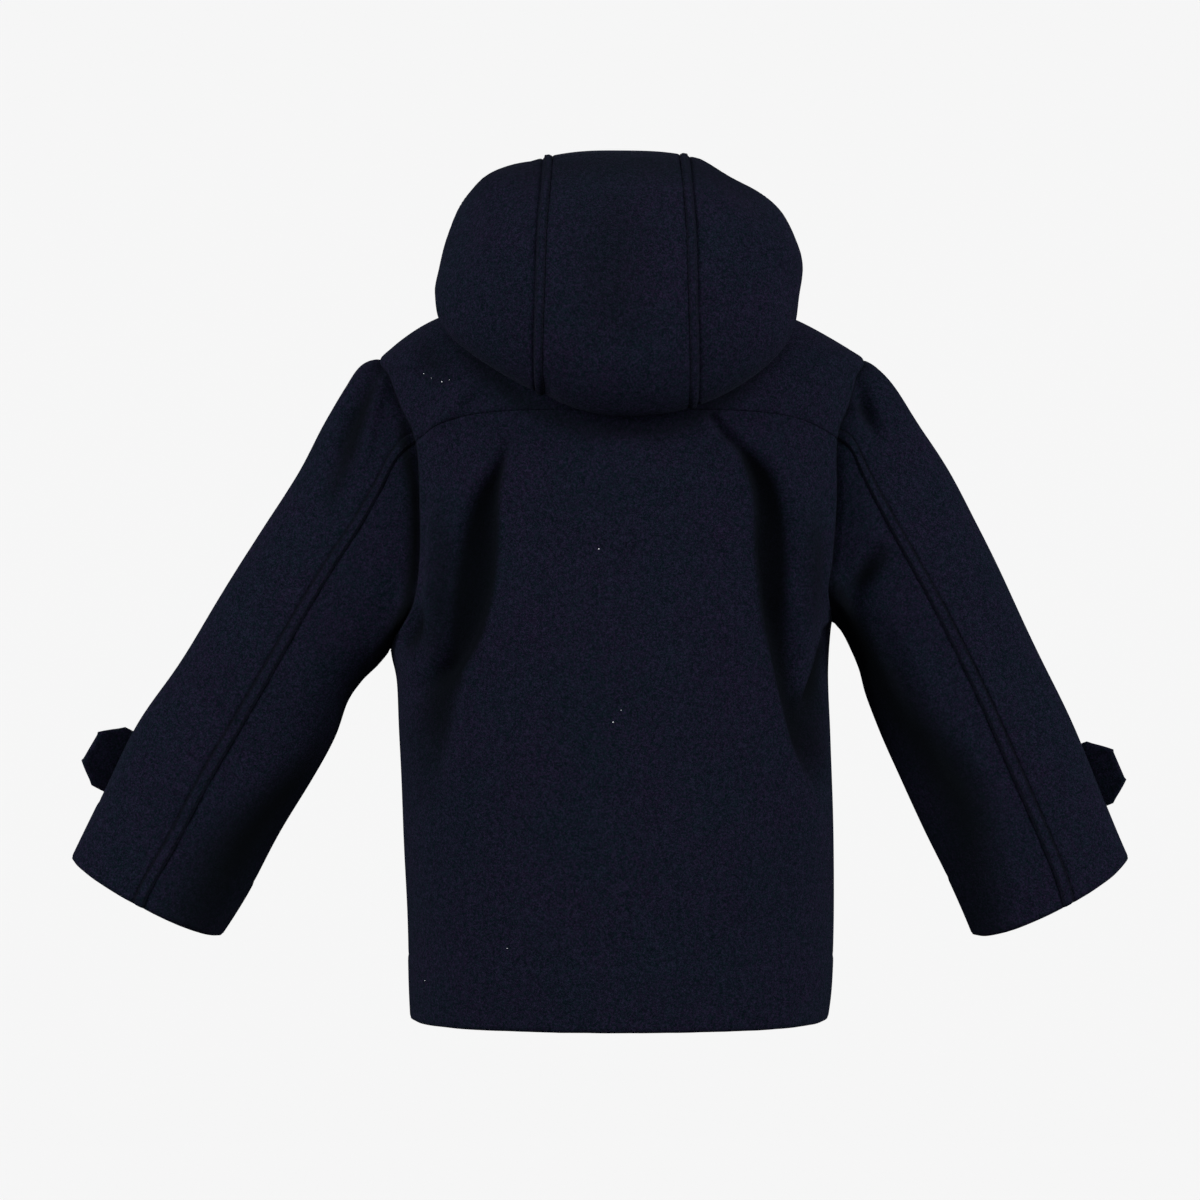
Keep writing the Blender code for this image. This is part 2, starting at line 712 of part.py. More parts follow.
def tab_grid(side, rows):
    """The tab's inner face: a row for each step along its path, a column for each step across it."""
    row = named_row(SLEEVE_COLUMNS, rows, TAB_LEVELS[side])
    middle, half = chord(row, side)
    drop = math.radians(TAB_DROP_ANGLES[side])
    turn = -drop if side == "left" else drop
    out = half / np.linalg.norm(half)
    out = out * math.cos(turn) + square_to(half) * math.sin(turn)
    down = square_to(out)
    grid = []
    for values in TAB_ROWS:
        step = dict(zip(TAB_COLUMNS, values))
        centre = middle + (out * step["out"] + np.array((0.0, step["forward"], 0.0))) * MM
        grid.append([centre + down * step["half_width"] * MM * share for share in TAB_ACROSS])
    return np.array(grid)


def cuff_tab(side, rows, sleeve, surface):
    grid = tab_grid(side, rows)
    lift_clear(grid, skin_tree(sleeve.values()), sleeve_core(sleeve), TAB_REST)
    inside = sleeve_core(sleeve)(grid[0, 2])
    patches = {"tab": grid}
    normals = shared_normals([patches], {"tab": inside})["tab"]
    outer = grid + normals * TAB_THICKNESS
    flipped = outward_sign(grid, inside) < 0
    solid_from_skins("cuff_tab_" + side, outer, grid, flipped, surface)
    return outer[CUFF_BUTTON_ROW, 2], normals[CUFF_BUTTON_ROW, 2]


def sleeve_core(sleeve):
    """The nearest point of a sleeve's middle line to any point."""
    rings = np.concatenate(list(sleeve.values()), axis=1).mean(axis=1)

    def nearest(point):
        return rings[np.argmin(np.linalg.norm(rings - point, axis=1))]

    return nearest


def button_mesh(name, radius, surface):
    mesh = bmesh.new()
    places = [(radius * share, BUTTON_THICKNESS * height) for share, height in BUTTON_PROFILE]
    profile = [mesh.verts.new((x, 0.0, z)) for x, z in places]
    for first, second in zip(profile, profile[1:]):
        mesh.edges.new((first, second))
    bmesh.ops.spin(
        mesh,
        geom=profile + list(mesh.edges),
        cent=(0, 0, 0),
        axis=(0, 0, 1),
        angle=math.tau,
        steps=BUTTON_SIDES,
        use_merge=True,
    )
    bmesh.ops.remove_doubles(mesh, verts=mesh.verts, dist=1e-6)
    bmesh.ops.recalc_face_normals(mesh, faces=mesh.faces)
    data = bpy.data.meshes.new(name)
    mesh.to_mesh(data)
    mesh.free()
    data.materials.append(surface)
    data.shade_smooth()
    data.set_sharp_from_angle(angle=SHARP_EDGE)
    return data


def place_button(name, data, point, normal):
    obj = bpy.data.objects.new(name, data)
    obj.location = Vector(point) + Vector(normal) * BUTTON_REST
    obj.rotation_mode = "QUATERNION"
    obj.rotation_quaternion = Vector(normal).to_track_quat("Z", "Y")
    bpy.context.collection.objects.link(obj)


def front_place(height):
    """The point and outward normal of the upper front's skin on the centre line at a height."""
    levels = np.linspace(0, NECK, PLACING_STEPS + 1)
    rows = [named_row(BODY_COLUMNS, BODY_ROWS, level) for level in levels]
    points = np.array([section_point(row, -90) for row in rows])
    y = np.interp(height * MM, points[:, 2], points[:, 1])
    y_above = np.interp(height * MM + PLACING_RISE, points[:, 2], points[:, 1])
    normal = np.array((0.0, PLACING_RISE, y - y_above))
    normal /= np.linalg.norm(normal)
    return np.array((0.0, y, height * MM)) + normal * (WALL + LAP_REST), normal


def add_front_buttons(surface):
    data = button_mesh("front_button", FRONT_BUTTON_RADIUS, surface)
    for number, height in enumerate(FRONT_BUTTON_HEIGHTS, 1):
        point, normal = front_place(height)
        place_button(f"front_button_{number}", data, point, normal)


def sleeve_inside(sleeve):
    """The middle line of a sleeve, as a point inside for each of its faces."""
    rings = np.concatenate(list(sleeve.values()), axis=1).mean(axis=1)
    return (rings[1:, None] + rings[:-1, None]) / 2


def main():
    clear_scene()
    wool = material("navy_wool", WOOL_COLOUR, WOOL_ROUGHNESS)
    horn = material("dark_button", BUTTON_COLOUR, BUTTON_ROUGHNESS)
    body = body_patches()
    groups = [body]
    insides = {name: BODY_INSIDE for name in body}
    cuff_button = button_mesh("cuff_button", CUFF_BUTTON_RADIUS, horn)
    for side, rows in (("left", LEFT_SLEEVE_ROWS), ("right", RIGHT_SLEEVE_ROWS)):
        sleeve = sleeve_patches(side, rows, body)
        groups.append(sleeve)
        insides.update({name: sleeve_inside(sleeve) for name in sleeve})
        point, normal = cuff_tab(side, rows, sleeve, wool)
        place_button("cuff_button_" + side, cuff_button, point, normal)
    add_front_buttons(horn)
    normals = shared_normals(groups, insides)
    lap = front_lap_rise(body["front_left"])
    body["front_left"] = body["front_left"] + normals["front_left"] * lap[:, :, None]
    hood = hood_patches()
    tree = skin_tree(body.values())
    for grid in hood.values():
        lift_clear(grid, tree, body_inside, HOOD_REST)
    insides.update({name: HOOD_INSIDE for name in hood})
    normals.update(shared_normals([hood], insides))
    for patches in groups + [hood]:
        for name, grid in patches.items():
            cloth_panel(name, grid, normals[name], insides[name], wool)


if __name__ == "__main__":
    main()
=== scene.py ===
import functools
import math

import bmesh
import bpy
import numpy as np
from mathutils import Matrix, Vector
from mathutils.bvhtree import BVHTree
from mathutils.kdtree import KDTree


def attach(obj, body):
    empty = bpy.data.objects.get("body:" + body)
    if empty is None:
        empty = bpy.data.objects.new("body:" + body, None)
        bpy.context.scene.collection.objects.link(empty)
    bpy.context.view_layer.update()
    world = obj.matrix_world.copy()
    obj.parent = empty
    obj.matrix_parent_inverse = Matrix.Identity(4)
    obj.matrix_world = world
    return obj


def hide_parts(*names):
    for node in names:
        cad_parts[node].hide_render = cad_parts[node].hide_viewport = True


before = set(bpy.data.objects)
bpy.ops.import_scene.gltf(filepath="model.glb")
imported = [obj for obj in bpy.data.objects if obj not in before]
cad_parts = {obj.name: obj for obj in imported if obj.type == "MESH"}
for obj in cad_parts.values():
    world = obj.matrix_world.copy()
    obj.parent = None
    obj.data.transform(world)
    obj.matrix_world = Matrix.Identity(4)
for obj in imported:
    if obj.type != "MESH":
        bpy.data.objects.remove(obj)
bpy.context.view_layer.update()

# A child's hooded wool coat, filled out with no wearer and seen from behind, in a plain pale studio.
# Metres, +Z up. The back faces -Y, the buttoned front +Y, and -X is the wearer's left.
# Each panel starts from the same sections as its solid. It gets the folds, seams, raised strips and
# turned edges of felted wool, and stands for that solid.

bl_info = {
    "name": "Hooded wool coat",
    "version": (1, 0, 0),
    "blender": (4, 5, 0),
    "location": "View3D > Sidebar > Coat",
    "description": "Dresses the solids of a child's hooded wool coat, and sets up its studio",
    "category": "Add Mesh",
}

MM = 0.001
ROUNDNESS = 2.3
FRONT_DROP = 2.0

# Levels of the body's table: the row where each seam runs
UNDERARM = 6
YOKE_SEAM = 10
SHOULDER_TIP = 13
NECK = 15

# One row for each section of the body, from hem to neck, in millimetres. x is the half width at the
# side seam or armhole, a that of the whole section, b its depth, z the height at that place. drop says
# how late the section turns down to its edge.
BODY_COLUMNS = "z_left x_left a_left z_right x_right a_right z_back b_back z_front b_front drop".split()
BODY_ROWS = (
    (-476, 146.5, 146.5, -476, 146.0, 146.0, -476, 97.0, -476, 94.0, 2.0),
    (-452, 147.5, 147.5, -452, 148.5, 148.5, -452, 97.0, -452, 94.0, 2.0),
    (-400, 148.5, 148.5, -400, 149.3, 149.3, -400, 96.0, -400, 93.5, 2.0),
    (-340, 151.2, 151.2, -340, 148.8, 148.8, -340, 95.0, -340, 93.0, 2.0),
    (-280, 154.6, 154.6, -280, 147.0, 147.0, -280, 94.0, -280, 92.0, 2.0),
    (-242, 155.6, 155.6, -238, 145.0, 145.0, -239, 93.5, -239, 91.5, 2.0),
    (-219, 159.6, 159.6, -201, 147.5, 147.5, -209, 93.0, -209, 91.0, 2.0),
    (-191, 143.6, 157.0, -180, 143.2, 153.5, -184, 92.5, -186, 90.5, 2.0),
    (-158, 138.5, 152.0, -158, 146.3, 157.0, -156, 91.5, -162, 89.5, 2.0),
    (-117, 138.5, 151.5, -117, 149.1, 161.0, -107, 90.0, -128, 88.0, 3.0),
    (-76, 141.3, 154.0, -74, 149.7, 162.5, -56, 87.0, -100, 84.0, 6.0),
    (-51, 152.2, 161.0, -51, 158.0, 166.0, -44, 84.0, -88, 81.0, 4.0),
    (-31, 160.0, 164.5, -31, 163.9, 168.0, -36, 80.5, -78, 78.0, 3.0),
    (-15, 165.9, 165.9, -15, 167.3, 167.3, -27, 76.0, -68, 74.0, 2.0),
    (11, 128.0, 128.0, 11, 122.0, 122.0, -8, 65.0, -46, 66.0, 2.0),
    (24, 74.0, 74.0, 24, 74.0, 74.0, 12, 49.0, -24, 58.0, 2.0),
)
SKIRT_LEVELS = (0, 1, 2, 3, 4, 5)
ARMHOLE_LEVELS = (6, 7, 8, 9, YOKE_SEAM, 11, 12, 13)
SHOULDER_LEVELS = (14, 15)
LEVEL_STEPS = 16
BACK_COLUMNS = 110
FRONT_COLUMNS = 56

# One row for each section of a sleeve, from the shoulder to the cuff: where its outer and its under
# edge lie, its depth behind and in front, how much it keeps the armhole's shape, and where the back
# seam runs, as a share of the way from outer to under edge. The first ring is the armhole itself.
SLEEVE_COLUMNS = "outer_x outer_z under_x under_z back front armhole seam".split()
SLEEVE_ROWS = {
    "left": (
        (166, -15, 160, -219, 44, 44, 1.00, 0.36),
        (181, -20, 162, -221, 45, 45, 0.85, 0.58),
        (193, -37, 165, -225, 45, 45, 0.65, 0.56),
        (207, -62, 171, -232, 44, 44, 0.40, 0.53),
        (224, -96, 181, -242, 42, 42, 0.20, 0.51),
        (251, -138, 191, -257, 40, 40, 0.05, 0.51),
        (283, -188, 200, -282, 38, 38, 0.00, 0.505),
        (309, -230, 216, -312, 36, 36, 0.00, 0.505),
        (337, -272, 237, -348, 35, 35, 0.00, 0.51),
        (360, -318, 259, -388, 34, 34, 0.00, 0.51),
        (383, -365, 279, -419, 33, 33, 0.00, 0.505),
    ),
    "right": (
        (167, -15, 147, -201, 42, 42, 1.00, 0.36),
        (178, -22, 151, -203, 43, 43, 0.85, 0.48),
        (191, -36, 155, -207, 44, 44, 0.65, 0.53),
        (208, -62, 160, -216, 43, 43, 0.40, 0.51),
        (230, -96, 167, -233, 42, 42, 0.20, 0.50),
        (252, -138, 172, -253, 40, 40, 0.05, 0.48),
        (276, -188, 182, -279, 38, 38, 0.00, 0.47),
        (296, -230, 196, -309, 36, 36, 0.00, 0.47),
        (316, -272, 213, -346, 35, 35, 0.00, 0.475),
        (336, -320, 230, -381, 34, 34, 0.00, 0.475),
        (355, -365, 246, -419, 33, 33, 0.00, 0.475),
    ),
}
SLEEVE_LEVELS = tuple(range(len(SLEEVE_ROWS["left"])))
SLEEVE_STEPS = 12
FRONT_SEAM_SHARE = 1.42
FRONT_SEAM_LEVEL = 8
CUFF_RIM_DROPS = {"left": 4.5, "right": 7.5}

# One arc of the hood for each row, from the face edge over the crown and the hanging pouch to the
# nape: the angle of its foot on the neck ring, its apex seen from the side, its half widths, how far
# down its widest place is, its lean to the right, half the width of the centre panel, and how square
# the arc is (2 is an ellipse, 1 a straight slant).
HOOD_COLUMNS = "foot apex_y apex_z left right waist lean strip square".split()
HOOD_ROWS = (
    (-72, -38, 124.5, 118, 113, 0.55, 0.00, 50, 2.5),
    (-54, -64, 118, 121, 118, 0.52, 0.00, 50, 2.45),
    (-37, -97, 96, 124, 123, 0.50, 0.00, 51, 2.3),
    (-22, -121, 62, 126, 126, 0.50, 0.00, 53, 2.2),
    (-9, -133, 22, 127, 123, 0.50, -0.01, 54, 2.0),
    (4, -134, -18, 123, 119, 0.50, -0.03, 55, 1.85),
    (16, -126, -48, 109, 110, 0.54, -0.05, 55, 1.75),
    (25, -111, -63, 86, 92, 0.56, -0.06, 54, 1.75),
    (33, -98, -55, 72, 74, 0.60, -0.04, 51, 1.9),
    (40, -88, -36, 62, 62, 0.66, -0.02, 47, 2.0),
    (46, -75, -13, 55, 55, 0.76, 0.00, 43, 2.1),
    (51, -61, 5, 49, 49, 0.88, 0.00, 39, 2.2),
    (56, -50.5, 14, 42.5, 42.5, 0.97, 0.00, 36, 2.3),
)
HOOD_STEPS = 12
# How much further out than the strip column each seam of the hood's centre panel lies
SEAM_SHIFTS = {"left": 3.0, "right": -3.0}
ARC_STEPS = 90
HOOD_CENTRE_COLUMNS = 40
HOOD_SIDE_COLUMNS = 60
HOOD_REST = 0.8 * MM
LIFT_REACH = 30.0 * MM

# Folds. Each row is a place on the fold's deepest line (x and z in millimetres), how deep it is there (a
# ridge is negative) and how far it reaches towards the coat's middle and away from it.
BACK_FOLDS = (
    (
        (-75, -78, 2, 5, 6), (-85, -101, 8, 5, 10), (-90, -120, 13, 7, 20), (-92.5, -145, 16, 9, 28),
        (-94, -165, 17, 9, 33), (-96.5, -181, 17, 9, 34), (-102, -201, 16, 10, 31),
        (-108, -217, 13, 10, 26), (-117, -231, 10, 10, 20), (-128, -240, 6, 11, 14),
        (-142, -247, 2.5, 12, 10), (-152, -252, 0, 10, 8),
    ),
    ((-112, -244, 3, 9, 24), (-118, -264, 4, 9, 30), (-124, -288, 3, 11, 30), (-130, -316, 0, 12, 26)),
    (
        (-118, -95, 0, 8, 8), (-126, -130, -3, 10, 9), (-129, -165, -4, 11, 8), (-130, -198, -4, 11, 8),
        (-126, -226, -4, 9, 8),
    ),
    ((-138, -188, 0, 5, 6), (-140, -202, 6, 6, 7), (-148, -214, 6, 6, 7)),
    (
        (61.7, -62, 3, 5, 6), (72, -74, 5, 5, 6), (83, -84, 6, 5, 8), (95, -104, 13, 7, 17),
        (99, -124, 15, 7, 22), (99, -145, 16, 7, 26), (100.5, -165, 16, 7, 25), (104, -191, 15, 8, 18),
        (107.5, -212, 12, 8, 16), (111, -232, 9, 8, 14), (116.5, -258, 7, 8, 13), (126, -289, 6, 8, 12),
        (137, -312, 2, 9, 12),
    ),
    (
        (118, -92, 0, 9, 9), (127, -130, -3, 10, 10), (130, -170, -4, 10, 10), (127, -212, -3, 9, 9),
        (125, -238, 0, 8, 8),
    ),
    ((144, -206, 4, 6, 7), (139, -232, 8, 8, 10), (130, -254, 6, 7, 12), (128, -274, 3, 7, 12)),
    ((-60, -400, 0, 30, 30), (-66, -440, 1.5, 34, 34), (-70, -476, 2.0, 38, 38)),
    ((58, -390, 0, 30, 30), (62, -440, 1.3, 36, 36), (64, -476, 1.8, 40, 40)),
    ((-92, -32, 0, 8, 8), (-108, -48, -2.5, 10, 10), (-124, -62, -2.5, 10, 10), (-134, -74, 0, 9, 9)),
    ((-128, -10, 0, 8, 8), (-134, -26, 2.5, 10, 10), (-140, -44, 0, 9, 9)),
)
FRONT_FOLDS = (
    ((-112, -110, 0, 10, 16), (-104, -170, 5, 14, 20), (-112, -225, 6, 14, 18), (-130, -280, 0, 12, 16)),
    ((110, -112, 0, 10, 16), (106, -165, 6, 13, 20), (116, -222, 5, 14, 18), (128, -268, 0, 12, 16)),
    ((-70, -380, 0, 30, 30), (-76, -476, 2.5, 36, 36)),
    ((72, -370, 0, 30, 30), (74, -476, 2.0, 36, 36)),
)
SLEEVE_BACK_FOLDS = (
    (
        (-168, -22, 1, 7, 9), (-177, -42, 5, 8, 13), (-187, -62, 6, 8, 14), (-195, -84, 4, 9, 14),
        (-200, -104, 0, 9, 14),
    ),
    ((-162, -28, 0, 6, 6), (-169, -52, -2, 7, 7), (-175, -80, -2, 8, 8), (-180, -100, 0, 8, 8)),
    ((166, -38, 2, 5, 7), (169, -52, 5.5, 7, 9), (175, -66, 4, 8, 9), (181, -78, 0, 8, 9)),
    ((160, -186, 2, 9, 9), (170, -164, 4, 11, 12), (178, -144, 0, 11, 12)),
    ((178, -202, 1, 9, 12), (193, -238, 3, 10, 16), (210, -274, 0, 10, 14)),
    ((218, -276, 0, 9, 12), (232, -302, 2, 10, 15), (250, -326, 0, 10, 13)),
    ((-176, -226, 1, 9, 12), (-196, -258, 2, 10, 16), (-216, -292, 0, 10, 14)),
    ((-230, -316, 0, 9, 12), (-250, -346, 2, 10, 15), (-266, -374, 0, 10, 13)),
    ((-262, -172, 0, 12, 12), (-250, -196, 1.5, 14, 14), (-242, -222, 0, 12, 12)),
)
SLEEVE_FRONT_FOLDS = (
    ((-172, -60, 0, 9, 12), (-186, -100, 5, 11, 16), (-206, -140, 3, 12, 16), (-220, -172, 0, 12, 16)),
    ((172, -58, 0, 9, 12), (184, -98, 5, 11, 16), (198, -142, 3, 12, 16), (206, -176, 0, 12, 16)),
    ((-200, -250, 1, 10, 14), (-226, -262, 5, 12, 14), (-262, -262, 0, 12, 12)),
    ((184, -244, 1, 10, 14), (208, -258, 5, 12, 14), (240, -260, 0, 12, 12)),
)
HOOD_FOLDS = (
    ((58, 18, 0, 8, 12), (58, 8, 1.8, 9, 12), (56, -4, 0, 8, 12)),
    ((-50, -36, 0, 6, 6), (-50, -44, 1.6, 7, 8), (-44, -54, 0, 6, 7)),
    ((86, 100, 0, 14, 14), (104, 64, 1.4, 16, 16), (110, 24, 0, 14, 14)),
    ((-20, -52, 0, 18, 18), (6, -56, 1.2, 20, 20), (30, -52, 0, 18, 18)),
)
# The same for the hood's own uneven shape, which gets no painted shade
HOOD_DENTS = (
    ((-60, 114, 0, 12, 12), (-74, 106, -3.5, 16, 16), (-88, 97, -5, 16, 16), (-98, 86, 0, 14, 14)),
    ((-96, 88, 0, 16, 16), (-108, 68, 5.5, 22, 22), (-113, 46, 4, 24, 24), (-116, 26, 0, 20, 20)),
    ((58, 122, 0, 18, 18), (76, 108, 4.5, 24, 24), (90, 92, 4.5, 22, 22), (102, 74, 0, 18, 18)),
    ((104, 62, 0, 16, 16), (112, 48, -4, 16, 16), (114, 36, 0, 14, 14)),
)

# Painted shade, drawn darker into the felt's colour where shade falls: under the sleeves and the hood,
# beside the armholes and below the folds. The same columns, but the third is how dark, from 0 to 1.
BACK_SHADES = (
    (
        (-112, -238, 0.5, 8, 20), (-122, -254, 0.8, 12, 26), (-126, -276, 0.65, 14, 28),
        (-130, -300, 0.35, 16, 28), (-134, -336, 0, 18, 26),
    ),
    ((-136, -186, 0, 6, 6), (-137, -202, 0.9, 8, 8), (-141, -216, 0.6, 8, 8), (-144, -228, 0, 8, 8)),
    (
        (-128, -108, 0, 12, 8), (-122, -146, 0.4, 12, 12), (-124, -186, 0.5, 12, 12),
        (-128, -220, 0.4, 12, 12),
    ),
    ((128, -116, 0, 10, 10), (133, -148, 0.5, 13, 13), (132, -182, 0.45, 13, 13), (130, -214, 0, 12, 12)),
    (
        (138, -222, 0.8, 8, 9), (136, -240, 0.95, 9, 10), (133, -262, 0.75, 12, 16),
        (134, -290, 0.65, 16, 16), (140, -322, 0, 16, 14),
    ),
    ((-136, -12, 0.3, 12, 12), (-128, -24, 0.5, 18, 18), (-120, -42, 0, 12, 12)),
    (
        (-112, -6, 0.3, 14, 14), (-98, -22, 0.5, 12, 16), (-84, -34, 0.6, 10, 16),
        (-68, -48, 0.55, 10, 14), (-44, -60, 0.5, 10, 12), (-20, -70, 0.5, 12, 12),
        (30, -70, 0.5, 12, 12), (52, -60, 0.6, 12, 12), (74, -46, 0.6, 12, 12), (92, -30, 0.5, 14, 12),
        (110, -10, 0.3, 14, 12),
    ),
)
SLEEVE_SHADES = (
    (
        (144, -170, 0.5, 8, 8), (154, -188, 0.95, 16, 14), (173, -226, 1.0, 24, 20),
        (190, -256, 1.0, 32, 26), (214, -289, 1.0, 36, 30), (232, -316, 1.0, 38, 32),
        (240, -342, 0.9, 38, 34), (244, -368, 0.75, 36, 32), (252, -410, 0.6, 34, 30),
    ),
    ((156, -180, 0, 9, 9), (166, -172, 0.8, 12, 12), (178, -158, 0.7, 12, 12), (188, -142, 0, 10, 10)),
    (
        (-150, -186, 0, 10, 10), (-156, -206, 0.8, 14, 12), (-172, -234, 0.5, 12, 12),
        (-196, -262, 0.2, 10, 10), (-211, -290, 0.6, 12, 14), (-226, -312, 0.95, 18, 22),
        (-246, -338, 1.0, 28, 32), (-264, -362, 1.0, 34, 40), (-282, -390, 0.85, 36, 42),
        (-296, -414, 0.7, 36, 42),
    ),
    (
        (-149, -58, 0.3, 5, 6), (-149, -72, 0.85, 6, 8), (-142, -113, 0.95, 6, 9),
        (-142, -152, 0.95, 6, 9), (-145, -181, 0.95, 6, 9), (-150, -207, 0.85, 7, 9),
    ),
    (
        (-166, -20, 0.3, 6, 8), (-178, -56, 0.75, 9, 11), (-187, -82, 0.8, 10, 12),
        (-197, -108, 0.45, 10, 12), (-204, -128, 0, 9, 12),
    ),
)
HOOD_SHADES = (
    ((-92, 102, 0.2, 18, 22), (-50, 112, 0.35, 20, 24), (40, 112, 0.35, 20, 24), (88, 102, 0.2, 18, 22)),
    ((-6, 96, 0, 40, 40), (-6, 66, 0.28, 42, 42), (-6, 10, 0.28, 42, 42), (-6, -20, 0, 40, 40)),
)

# How a panel's four edges are finished: its first and last column, then its first and last row
PANEL_EDGES = {
    "back_body": ("side", "side", "free", "under_seam"),
    "back_yoke": ("side", "side", "over_seam", "seam"),
    "front_left": ("free", "side", "free", "seam"),
    "front_right": ("side", "free", "free", "seam"),
    "sleeve_upper": ("strip", "seam", "under", "free"),
    "sleeve_under": ("seam", "seam", "under", "free"),
    "hood_centre": ("hood_strip", "hood_strip", "free", "seam"),
    "hood_side": ("seam", "seam", "free", "seam"),
    "cuff_tab": ("free", "free", "free", "free"),
}
# Distances from an edge where a panel always has a line of points, in millimetres
EDGE_LINES = (0.5, 1.1, 1.8, 2.8, 4.2, 5.5, 6.3, 7.0, 7.7, 8.5, 9.6, 11.2)
POINT_SPACING = 2.5 * MM
# Edge lines are squeezed where a line of points is shorter than this many times the last of them
EDGE_ROOM = 2.4

# Cuff tabs: a path from the front sleeve seam out past the sleeve's outer edge. out is measured from
# the sleeve's middle and forward from its middle plane, to the tab's inner face.
TAB_COLUMNS = "out forward half_width".split()
TAB_ROWS = (
    (-16, 35.2, 23), (-5, 35.6, 23), (6, 35.6, 23), (17, 35.0, 23), (28, 33.4, 23), (38, 31.0, 23),
    (47, 27.8, 23), (55, 24.2, 23), (62, 20.5, 23), (71, 16.5, 23), (84.5, 11.5, 11),
)
TAB_STEPS = 4
TAB_COLUMNS_ACROSS = 14
TAB_LEVELS = {"left": 8.5, "right": 8.6}
TAB_DROP_ANGLES = {"left": 6.0, "right": 9.0}
TAB_SHIFTS = {"left": 0.0, "right": -3.5}
TAB_REST = 0.7 * MM
# How many rings of a sleeve give the middle line that its tab lies round
TAB_RINGS = 30

# Bits of lint on the back: x and z in millimetres, then size
LINT_COLUMNS = "x z size".split()
LINT = (
    (-14.7, -151.0, 0.85), (-5.2, -267.9, 0.7), (0.2, -259.8, 0.55), (-76.8, -421.2, 0.75),
    (-134.2, -446.9, 0.6), (-134.9, -30.2, 0.8), (-129.5, -33.6, 0.6), (-122.0, -36.3, 0.8),
    (-117.0, -35.0, 0.45),
)


def smooth_between(rows, level):
    """The table's row at a level between its rows, on a smooth curve through them."""
    rows = np.asarray(rows, float)
    last = len(rows) - 1
    index = min(int(level), last - 1)
    part = level - index
    before = rows[max(index - 1, 0)]
    here = rows[index]
    there = rows[index + 1]
    after = rows[min(index + 2, last)]
    slope_here = (there - before) / 2
    slope_there = (after - here) / 2
    squared = part * part
    cubed = squared * part
    return (
        (2 * cubed - 3 * squared + 1) * here
        + (cubed - 2 * squared + part) * slope_here
        + (3 * squared - 2 * cubed) * there
        + (cubed - squared) * slope_there
    )


def named_row(columns, rows, level):
    return dict(zip(columns, smooth_between(rows, level)))


def rounded(value, square=ROUNDNESS):
    """A cosine or sine turned into that of a slightly squared ellipse."""
    return math.copysign(abs(value) ** (2 / square), value)


def smooth_step(value):
    value = np.clip(value, 0.0, 1.0)
    return value * value * (3 - 2 * value)


def finer(levels, steps):
    """The same levels with others evenly between them."""
    found = []
    for low, high in zip(levels, levels[1:]):
        found += [round(low + (high - low) * step / steps, 6) for step in range(steps)]
    return found + [levels[-1]]


def lengths(grid, axis):
    """How far each point lies along its own line of the grid, from the line's start."""
    steps = np.linalg.norm(np.diff(grid, axis=axis), axis=2)
    run = np.cumsum(steps, axis=axis)
    first = np.zeros_like(np.take(run, [0], axis=axis))
    return np.concatenate([first, run], axis=axis)


def on_line(places, run, values):
    """The values of a line of points, at places measured along it."""
    return np.stack([np.interp(places, run, values[:, axis]) for axis in range(3)], axis=-1)


def respaced(grid, axis):
    """The same surface, with lines of points at set distances from its edges and evenly between."""
    if axis == 0:
        return respaced(grid.transpose(1, 0, 2), 1).transpose(1, 0, 2)
    run = lengths(grid, 1)
    edge = np.array((0.0,) + EDGE_LINES) * MM
    count = max(int((run[:, -1].max() - 2 * edge[-1]) / POINT_SPACING), 2)
    made = []
    for points, places in zip(grid, run):
        fit = min(1.0, places[-1] / (EDGE_ROOM * edge[-1]))
        near = edge * fit
        middle = np.linspace(near[-1], places[-1] - near[-1], count + 1)[1:-1]
        wanted = np.concatenate([near, middle, places[-1] - near[::-1]])
        made.append(on_line(wanted, places, points))
    return np.array(made)


# Body


def edge_angle(row, side, level):
    """Where the section is cut by the armhole, in degrees from the side; 0 at a seam."""
    if level <= UNDERARM or level >= SHOULDER_TIP:
        return 0.0
    share = min(row["x_" + side] / row["a_" + side], 1.0)
    return math.degrees(math.acos(share ** (ROUNDNESS / 2)))


def section_point(row, angle):
    """A point of a body section: 0 degrees is its left side, 90 the back, 180 the right, 270 the front."""
    cosine = math.cos(math.radians(angle))
    sine = math.sin(math.radians(angle))
    side = "left" if cosine > 0 else "right"
    face = "back" if sine > 0 else "front"
    x = -row["a_" + side] * rounded(cosine)
    y = -row["b_" + face] * rounded(sine)
    drop = row["drop"] if face == "back" else FRONT_DROP
    lean = min(abs(x) / row["x_" + side], 1.0) ** drop
    z = row["z_" + face] + (row["z_" + side] - row["z_" + face]) * lean
    return np.array((x, y, z)) * MM


def body_grid(levels, angles_of):
    """A grid of points on the body: a row for each level, a column for each angle."""
    grid = []
    for level in levels:
        row = named_row(BODY_COLUMNS, BODY_ROWS, level)
        grid.append([section_point(row, angle) for angle in angles_of(row, level)])
    return np.array(grid)


def back_angles(row, level):
    left = edge_angle(row, "left", level)
    right = 180 - edge_angle(row, "right", level)
    return np.linspace(left, right, BACK_COLUMNS + 1)


def lap_angle(row, past):
    """How far past the centre front a panel reaches, in degrees."""
    side = "right" if past > 0 else "left"
    share = min(abs(past) / (row["a_" + side] * MM), 1.0)
    return math.degrees(math.asin(share ** (ROUNDNESS / 2)))


def front_left_angles(row, level):
    lap = -90 - lap_angle(row, bpy.context.scene.coat_sizes.lap_half)
    return np.linspace(lap, -edge_angle(row, "left", level), FRONT_COLUMNS + 1)


def front_right_angles(row, level):
    lap = 270 + lap_angle(row, -bpy.context.scene.coat_sizes.lap_half)
    return np.linspace(180 + edge_angle(row, "right", level), lap, FRONT_COLUMNS + 1)


def body_levels():
    return finer(SKIRT_LEVELS + ARMHOLE_LEVELS + SHOULDER_LEVELS, LEVEL_STEPS)


